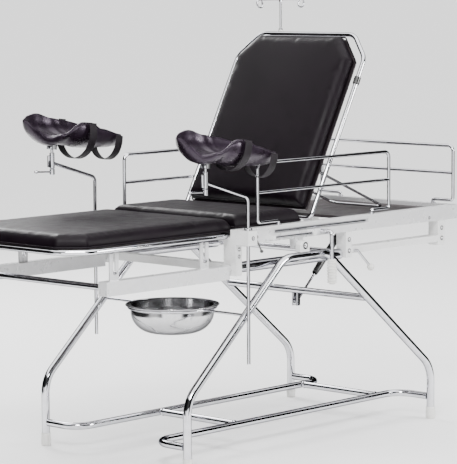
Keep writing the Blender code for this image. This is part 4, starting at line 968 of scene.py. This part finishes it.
# %% Gas spring
PIN_HIGH = (0.710, 0.700)
GAS_SLOPE = math.atan2(PIN_HIGH[1] - PIN_LOW[1], PIN_HIGH[0] - PIN_LOW[0])


def along_spring(piece, pin):
    """A piece turned about the X axis through a pin, laid on the line between the two pins."""
    return swung(piece, -GAS_SLOPE, (pin[0], 0, pin[1]))


EYE_R, EYE_HALF, PIN_R = 0.0100, 0.0070, 0.0046
eye = mirrored([(PIN_R, -EYE_HALF), (EYE_R - 0.001, -EYE_HALF), (EYE_R, -EYE_HALF + 0.001)])
ring = turned("eye", eye, (PIN_LOW[0], 0, PIN_LOW[1]), CHROME, axis="y", closed=True)
rod = [(0, 0.0085), (0.0060, 0.0085), (0.0060, 0.016), (0.0045, 0.019)]
rod += [(0.0045, 0.2295), (0.004, 0.230), (0, 0.230)]
rod = along_spring(turned("rod", rod, (PIN_LOW[0], 0, PIN_LOW[1]), CHROME, axis="x"), PIN_LOW)
place(joined("gas_spring_rod", [ring, rod]), "gas_rod", "chrome_tube", "gas_rod")
ring = turned("eye", eye, (PIN_HIGH[0], 0, PIN_HIGH[1]), BLACK, axis="y", closed=True)
BODY_R, BORE_R, BODY_END = 0.0130, 0.0105, 0.235
shell = [(0, -0.0085), (0.0062, -0.0085), (0.0062, -0.026), (0.0110, -0.0285), (BODY_R, -0.033)]
shell += [(BODY_R, -BODY_END + 0.030), (BODY_R - 0.001, -BODY_END + 0.010), (BODY_R - 0.002, -BODY_END)]
shell += [(BORE_R, -BODY_END), (BORE_R, -0.078), (0, -0.078)]
shell = along_spring(turned("shell", shell, (PIN_HIGH[0], 0, PIN_HIGH[1]), BLACK, axis="x"), PIN_HIGH)
place(joined("gas_spring_cylinder", [ring, shell]), "gas_cylinder", "black_steel", "gas_cylinder")
print("gas spring slope", round(math.degrees(GAS_SLOPE), 1), "degrees")

# %% [markdown]
# ## The bowl
# A spun steel bowl: flat base, round wall, a bead under the lip and a rolled rim. It sits in a wire ring
# whose arms run out to the legs.

# %% Bowl and its holder
BOWL_X = spread_of("bowl")[2][0]
RING_Z = arch_height(BOWL_X, "foot")
BASE_R, BODY_TOP_R, RIM_R, ROLL_R = 0.066, 0.1455, 0.164, 0.0026
BOWL_WALL, DEPTH = 0.0020, 0.096
seat_z = RING_Z + 0.0053
curve = np.linspace(0, np.pi / 2, 24)
outer = np.stack([BASE_R + (BODY_TOP_R - BASE_R) * np.sin(curve),
                  seat_z - DEPTH + DEPTH * 0.78 * (1 - np.cos(curve))], axis=1)
bead = np.linspace(0, np.pi, 7)
lip = np.stack([BODY_TOP_R + 0.0016 * np.sin(bead), seat_z - 0.013 + 0.006 * bead / np.pi], axis=1)
roll = np.linspace(-np.pi / 2, np.pi, 12)
rim = np.stack([RIM_R - ROLL_R + ROLL_R * np.cos(roll), seat_z + ROLL_R + ROLL_R * np.sin(roll)], axis=1)
inside = outer[::-1] + np.array([-BOWL_WALL, BOWL_WALL * 0.6])
brim, floor_point = (BODY_TOP_R - BOWL_WALL, seat_z + BOWL_WALL), (0, seat_z - DEPTH + BOWL_WALL)
profile = np.concatenate([[(0, seat_z - DEPTH)], outer, lip, [(BODY_TOP_R, seat_z)], rim, [brim], inside,
                          [floor_point]])
bowl = turned("steel_bowl", profile, (BOWL_X, 0, 0), STEEL, sides=96)
place(bowl, "bowl", "bowl_steel", "bowl")

HOLDER_R, HOLDER_WIRE = 0.152, 0.0050
turn = np.linspace(0, 2 * np.pi, 96, endpoint=False)
path = np.stack([BOWL_X + HOLDER_R * np.cos(turn), HOLDER_R * np.sin(turn), 0 * turn + RING_Z], axis=1)
wires = [tube("ring", path, HOLDER_WIRE, CHROME, plane=(0, 0, 1), closed=True)]
holder_reach = spread_of("bowl_holder")[1][1]
for sign in SIDES.values():
    ends = [(BOWL_X, sign * (HOLDER_R + 0.002), RING_Z), (BOWL_X, sign * holder_reach, RING_Z)]
    wires.append(bar_between("arm", *ends, HOLDER_WIRE * 0.95, CHROME))
place(joined("bowl_ring", wires), "base", "chrome_tube", "bowl_holder")
print("bowl ring height", round(RING_Z, 3))

# %% [markdown]
# ## Levers, screws and fixings
# The release lever hangs outside the near rail with a ribbed grip. Its pull rod lies in a groove of the
# rail, and a return spring in a tube is fixed below it. Small domed bolts mark every joint of the frame.

# %% Release lever
lever_root = spread_of("release_lever")[1][1]
LEVER_X, LEVER_Z, LEVER_Y, LEVER_R = 0.195, 0.744, -0.381, 0.008
GRIP_TOP, GRIP_LENGTH, GRIP_R, RIB, RIBS = 0.650, 0.090, 0.0180, 0.0016, 9
bar = [(LEVER_X, lever_root, LEVER_Z), (LEVER_X, LEVER_Y, LEVER_Z), (LEVER_X, LEVER_Y, GRIP_TOP - 0.010)]
shaft = tube("shaft", bent(bar, (0, 0.014, 0)), LEVER_R, CHROME, plane=(1, 0, 0))
down = np.linspace(0, 1, 90)
ribs = GRIP_R - RIB + RIB * fuller(np.sin(down * RIBS * 2 * np.pi), 0.4)
taper = np.minimum(1, 12 * np.minimum(down + 0.012, 1 - down)) ** 0.35
profile = np.stack([ribs * taper, -down * GRIP_LENGTH], axis=1)
grip = turned("grip", np.concatenate([[(0, 0)], profile]), (LEVER_X, LEVER_Y, GRIP_TOP), PLASTIC, sides=32)
place(joined("hand_lever", [shaft, grip]), "release_lever", "lever_grip", "release_lever")

low, high, middle = spread_of("pull_rod")
ends = [(low[0], middle[1], middle[2]), (high[0], middle[1], middle[2])]
rod = bar_between("pull_wire", *ends, 0.0040, CHROME)
place(rod, "pull_rod", "chrome_tube", "pull_rod")
print("grip ribs", RIBS)

# %% [markdown]
# A short stub carries a thin lever with a round knob below the near rail.

# %% Tilt lever
low, high = spread_of("tilt_lever")[:2]
KNOB_R = 0.0135
start = np.array([0.372, high[1], 0.662])
tip = np.array([high[0] - KNOB_R, low[1] + KNOB_R, low[2] + KNOB_R])
elbow = np.array([start[0], tip[1], start[2]])
pieces = [bar_between("stub", start, elbow + (0, -0.002, 0), 0.0045, CHROME)]
pieces.append(tube("lever", [elbow, tip], 0.0040, CHROME))
pieces.append(ball("knob", KNOB_R, tip, PLASTIC, steps=16, sides=28))
place(joined("tilt_handle", pieces), "tilt_lever", "lever_grip", "tilt_lever")
print("knob at", [round(float(value), 3) for value in tip])

# %% [markdown]
# The return spring's tube stands off the rail on two small lugs.

# %% Return spring on the near rail
RAIL_FACE = spread_of("side_rail_near")[0][1]
SPRING_X, SPRING_Z, SPRING_R = (-0.066, 0.146), 0.7425, 0.0042
tube_y = RAIL_FACE - SPRING_R - 0.004
ends = [(x, tube_y, SPRING_Z) for x in SPRING_X]
blocks = [bar_between("spring_tube", *ends, SPRING_R, CHROME)]
for x in SPRING_X:
    lug = [(x, RAIL_FACE - GAP, SPRING_Z), (x, RAIL_FACE - 0.016, SPRING_Z)]
    blocks.append(tube("lug", lug, 0, ENAMEL, plane=(0, 0, 1), ring=strip(0.017, 0.015)))
place(joined("return_spring", blocks), "top", "white_bracket")
print("spring tube length", round(SPRING_X[1] - SPRING_X[0], 3))


# %% [markdown]
# Every bolt is the same domed profile on a washer. Three lists say where each family of them stands.

# %% Bolts
def bolt(centre, axis, out, radius):
    """A domed head on a washer, standing on a face, with its top towards out along the axis."""
    height = radius * 0.75
    dome = np.linspace(0, np.pi / 2, 6)
    head = np.stack([radius * np.cos(dome), 0.0012 + height * np.sin(dome)], axis=1)
    profile = np.concatenate([[(0, 0), (radius * 1.5, 0), (radius * 1.5, 0.0011), (radius, 0.0012)], head])
    profile[-1, 0] = 0
    return turned("bolt", profile * (1, out), centre, STEEL, axis=axis, sides=20)


CROSS_BOLTS = ((0.345, 0.702), (0.345, 0.662), (0.874, 0.702), (0.874, 0.664))
HANGER_BOLTS = ((-0.2268, 0.692), (-0.2268, 0.716))
BOARD_BOLTS = ((0.20, 0.744), (0.80, 0.744))
TILT_AXIS, SOCKET_Z = (0.080, 0.705), 0.757


def outer_face(node, sign):
    """The side of a node that looks away from the table's middle."""
    low, high = spread_of(node)[:2]
    return (high if sign > 0 else low)[1] + sign * GAP


top_bolts, base_bolts = [], []
for side, sign in SIDES.items():
    face = sign * (abs(RAIL_FACE) + GAP)
    for rows, radius in ((CROSS_BOLTS, 0.0055), (HANGER_BOLTS, 0.0045), (BOARD_BOLTS, 0.0038)):
        top_bolts += [bolt((x, face, z), "y", sign, radius) for x, z in rows]
    bracket = outer_face(f"tilt_bracket_{side}", sign)
    base_bolts.append(bolt((TILT_AXIS[0], bracket, TILT_AXIS[1]), "y", sign, 0.0085))
    socket, socket_x = outer_face(f"crutch_socket_{side}", sign), spread_of(f"crutch_socket_{side}")[2][0]
    top_bolts.append(bolt((socket_x, socket, SOCKET_Z), "y", sign, 0.0050))
print("bolts:", len(top_bolts) + len(base_bolts))
place(joined("top_bolts", top_bolts), "top", "white_bracket")
place(joined("base_bolts", base_bolts), "base", "white_bracket")

# %% [markdown]
# ## The knee crutches
# Each crutch is a stuffed gutter. Along its length (first parameter) its radius, thickness and the reach of
# its two walls change: an egg-shaped cup for the knee, open to one side, then a lobe that rises where the
# thigh is held, then a plainer trough for the calf. Round its section (second parameter) runs a thick
# letter C whose edges are rounded like a superellipse. A cord pipes the open rim, and two webbing straps
# hang slack below.

# %% The gutter
CRUTCH_BACK, CRUTCH_FRONT = -0.142, 0.282
CRUTCH_R, CRUTCH_CLEAR = 0.0615, 0.0145
CRUTCH_TILT = math.radians(7)
POLE_X, POLE_Y, POLE_R = -0.222, 0.370, 0.006
ARM_REACH, ARM_RISE, BEND_Z = 0.204, 0.062, 0.893
BARREL_HEIGHT, BARREL_R = 0.054, 0.0088
RAISED = {"near": 0.0, "far": 0.030}
STRAP_SLACK = {"near": (0.010, 0.036), "far": (0.034, 0.040)}
CRUTCH_LENGTH = CRUTCH_FRONT - CRUTCH_BACK
PIPING_R, STRAP_THICK, STRAP_AT = 0.0030, 0.0026, (0.60, 0.95)
BALL_R, EAR_OUT = 0.0100, 0.0131


def smooth_steps(u, places, values):
    """Values that change smoothly from each place to the next."""
    places, values = np.asarray(places, float), np.asarray(values, float)
    index = np.clip(np.searchsorted(places, u) - 1, 0, len(places) - 2)
    share = np.clip((u - places[index]) / (places[index + 1] - places[index]), 0, 1)
    share = share * share * (3 - 2 * share)
    return values[index] * (1 - share) + values[index + 1] * share


def gutter_size(u):
    """At u, 0 at the knee: radius, reach of the open and the high wall in radians, and thickness."""
    nose = np.sin(np.minimum(u / 0.27, 1) * np.pi / 2) ** 0.86
    full = CRUTCH_R * smooth_steps(u, (0, 0.30, 0.44, 0.58, 1), (1.04, 1.06, 0.97, 1.02, 0.90))
    radius = 0.003 + (full - 0.003) * nose
    open_wall = smooth_steps(u, (0, 0.07, 0.20, 0.34, 0.52, 0.62, 0.74, 1), (70, 46, 30, 56, 98, 99, 84, 70))
    high_wall = smooth_steps(u, (0, 0.12, 0.27, 0.42, 0.58, 0.8, 1), (96, 112, 118, 110, 106, 98, 84))
    open_wall, high_wall = np.radians(open_wall), np.radians(high_wall)
    thick = smooth_steps(u, (0, 0.10, 0.28, 0.42, 0.56, 0.92, 1), (3, 16, 21, 17, 21, 16, 8)) / 1000
    return radius, open_wall, high_wall, thick


def gutter_place(pivot, u, angle, ring):
    """The point at u along the gutter, at an angle round its section and a distance from its axis."""
    x = pivot[0] + CRUTCH_BACK + u * CRUTCH_LENGTH + 0 * angle
    y = pivot[1] + ring * np.sin(angle)
    z = pivot[2] + CRUTCH_CLEAR + CRUTCH_R + 0.0065 - ring * np.cos(angle)
    return np.stack([x, y, z], axis=-1)


def gutter(pivot):
    """Points of the gutter: u runs along it and s round its C-shaped wall."""
    u = (1 - np.cos(np.linspace(0, np.pi, 96))) / 2
    s = np.linspace(0, 2 * np.pi, 64, endpoint=False)[None]
    radius, open_wall, high_wall, thick = (value[:, None] for value in gutter_size(u))
    u = u[:, None]
    round_c, round_s = fuller(np.cos(s), 0.75), fuller(np.sin(s), 0.60)
    angle = np.where(round_c < 0, open_wall, high_wall) * round_c
    puff = 1 + np.cos(round_c * np.pi / 2) * np.where(round_s > 0, 0.35, 1.5)
    crease = 0.0016 * np.sin(46 * u + 3 * angle) * np.exp(-((u - 0.44) ** 2) / 0.008)
    return gutter_place(pivot, u, angle, radius + thick / 2 * round_s * puff + crease)


def rim_piping(name, pivot):
    """The piped cord along the edge of the open wall."""
    u = np.linspace(0.012, 0.985, 90)
    radius, open_wall, thick = (gutter_size(u)[i] for i in (0, 1, 3))
    path = gutter_place(pivot, u, -open_wall - 0.02, radius + thick * 0.12)
    return tube(name, path, 0, SHELL, ring=circle(PIPING_R, 12))


def closed_gutter(name, points, material):
    """The gutter's skin with both of its thin ends filled."""
    rows, columns = points.shape[:2]
    faces = grid_faces(rows, columns, wrap_columns=True)
    half = columns // 2
    for start in (0, (rows - 1) * columns):
        ends = [start + i for i in range(columns)]
        faces += [[ends[i], ends[i + 1], ends[-i - 2], ends[-i - 1]] for i in range(half - 1)]
    return build(name, points, faces, material, 50)


def strap(pivot, at, slack, width=0.034):
    """A webbing band round the outside of the gutter at one place, hanging below it by the slack."""
    radius, open_wall, high_wall, thick = (float(value[0]) for value in gutter_size(np.array([at])))
    share = np.linspace(-1, 1, 64)
    angle = np.where(share < 0, open_wall, high_wall) * share
    ring = radius + thick / 2 * 1.45 + STRAP_THICK + slack * np.cos(share * np.pi / 2) ** 1.3
    path = gutter_place(pivot, at, angle, ring)
    return tube("strap", path, 0, WEBBING, plane=(1, 0, 0), ring=strip(width, STRAP_THICK))


# %% [markdown]
# A crutch is worked out from three points: the bend of its pole, the foot of its barrel and the centre of
# its ball. Raising one crutch moves all three.

# %% Crutch poles and clamps
def crutch_points(side, sign):
    """The bend of a crutch's pole, the foot of its barrel and the centre of its ball."""
    y, knee = sign * POLE_Y, BEND_Z + RAISED[side]
    barrel = knee + ARM_RISE - BARREL_HEIGHT * 0.34
    tip_x = POLE_X - ARM_REACH
    return (POLE_X, y, knee), (tip_x, y, barrel), (tip_x, y, barrel + BARREL_HEIGHT + 0.020)


def crutch_arm(side, bend, barrel, pivot):
    """The bent pole with its barrel and clamp, and the post that stands in it."""
    tip_x, y, foot = barrel
    low = spread_of(f"crutch_pole_{side}")[0][2]
    path = [(POLE_X, y, low), bend, (tip_x + 0.0075, y, bend[2] + ARM_RISE - 0.002)]
    parts = [tube("rod", bent(path, (0, 0.022, 0)), POLE_R, CHROME)]
    wall = [(0.0056, 0), (BARREL_R - 0.001, 0), (BARREL_R, 0.001), (BARREL_R, BARREL_HEIGHT - 0.001)]
    wall += [(BARREL_R - 0.001, BARREL_HEIGHT), (0.0056, BARREL_HEIGHT)]
    parts.append(turned("barrel", wall, barrel, CHROME, sides=32, closed=True))
    clamp = [(0, 0.004), (0.0048, 0.004), (0.0058, 0.006), (0.0058, 0.044), (0.0045, 0.0455), (0, 0.0455)]
    parts.append(turned("clamp", clamp, (tip_x - BARREL_R - 0.0058, y, foot), CHROME, sides=24))
    place(joined(f"crutch_arm_{side}", parts), f"crutch_pole_{side}", "chrome_tube", f"crutch_pole_{side}")

    post = [(0, foot + 0.006), (0.005, foot + 0.006), (0.005, pivot[2] - 0.0085)]
    arc = np.linspace(-0.95, np.pi / 2, 14)
    dome = np.stack([BALL_R * np.cos(arc), pivot[2] + BALL_R * np.sin(arc)], axis=1)
    dome[-1, 0] = 0
    piece = turned(f"crutch_stem_{side}", np.concatenate([post, dome]), (tip_x, y, 0), CHROME, sides=28)
    place(piece, f"crutch_post_{side}", "chrome_tube", f"crutch_post_{side}")


# %% [markdown]
# Three screws and bushes hold it: one under the barrel, one round the pole at the rail, one in the socket.

# %% Crutch screws and bushes
def crutch_screws(side, sign, barrel):
    """The screw under the barrel, the bush at the rail, and the screw of its socket."""
    tip_x, y, foot = barrel
    top = foot - 0.0006
    hub = [(0, -0.022), (0.007, -0.022), (0.009, -0.020), (0.009, -0.003), (0.006, 0), (0, 0)]
    end = np.array([tip_x - 0.075, y, top - 0.008])
    parts = [turned("hub", hub, (tip_x, y, top), CHROME, sides=28)]
    parts.append(tube("bar", [(tip_x, y, top - 0.012), end], 0.0030, CHROME))
    parts.append(ball("ball", 0.0065, end, CHROME))
    piece = joined(f"barrel_handle_{side}", parts)
    place(piece, f"barrel_screw_{side}", "chrome_tube", f"barrel_screw_{side}")

    node = f"crutch_bush_{side}"
    low, high = (corner[2] for corner in spread_of(node)[:2])
    bush = [(0.0066, low), (0.0100, low), (0.0100, RAIL_TOP + GAP), (0.0135, RAIL_TOP + GAP)]
    bush += [(0.0140, RAIL_TOP + 0.001), (0.0140, high - 0.002), (0.0125, high), (0.0066, high)]
    piece = turned(f"bush_{side}", bush, (POLE_X, y, 0), CHROME, sides=32, closed=True)
    place(piece, node, "rail_steel", node)

    node = f"socket_screw_{side}"
    start = np.array([spread_of(node)[0][0], y, SOCKET_Z])
    head = [(0, 0), (0.0065, 0), (0.0070, 0.001), (0.0070, 0.020), (0.0055, 0.022), (0, 0.022)]
    parts = [turned("head", head, start, BLACK, axis="x", sides=24)]
    wing = [start + (0.0137, 0, 0), start + (0.0137, sign * 0.028, -0.046)]
    parts.append(tube("wing", wing, 0.0030, BLACK, plane=(1, 0, 0)))
    parts.append(ball("tip", 0.006, wing[1], BLACK))
    place(joined(f"socket_handle_{side}", parts), node, "black_steel", node)


# %% [markdown]
# The cushion, its piping and its straps are made level, then tilted together about the ball.

# %% Crutch cushions and straps
def crutch_cushion(side, pivot):
    """The stuffed gutter with its piping, straps and ears, tilted about the ball."""
    skin = closed_gutter(f"crutch_cushion_{side}", gutter(pivot), SHELL)
    piping = rim_piping(f"crutch_piping_{side}", pivot)
    straps = [strap(pivot, at, slack) for at, slack in zip(STRAP_AT, STRAP_SLACK[side])]
    ears = []
    for y in (pivot[1] - EAR_OUT, pivot[1] + EAR_OUT):
        plate = [(pivot[0], y, pivot[2] - 0.008), (pivot[0], y, pivot[2] + 0.026)]
        ears.append(tube("ear", plate, 0, STEEL, ring=strip(0.005, 0.022)))
    for piece in (skin, piping, *straps, *ears):
        swung(piece, CRUTCH_TILT, pivot)
    place(skin, f"crutch_{side}", "crutch_padding", f"crutch_{side}")
    place(joined(f"crutch_straps_{side}", straps), f"crutch_{side}", "crutch_padding")
    place(piping, f"crutch_{side}", "crutch_padding")
    place(joined(f"crutch_ears_{side}", ears), f"crutch_{side}", "chrome_tube")


for side, sign in SIDES.items():
    bend, barrel, pivot = crutch_points(side, sign)
    crutch_arm(side, bend, barrel, pivot)
    crutch_screws(side, sign, barrel)
    crutch_cushion(side, pivot)
    print(side, "crutch, ball centre at", [round(value, 4) for value in pivot])

# %% Final update
bpy.context.view_layer.update()
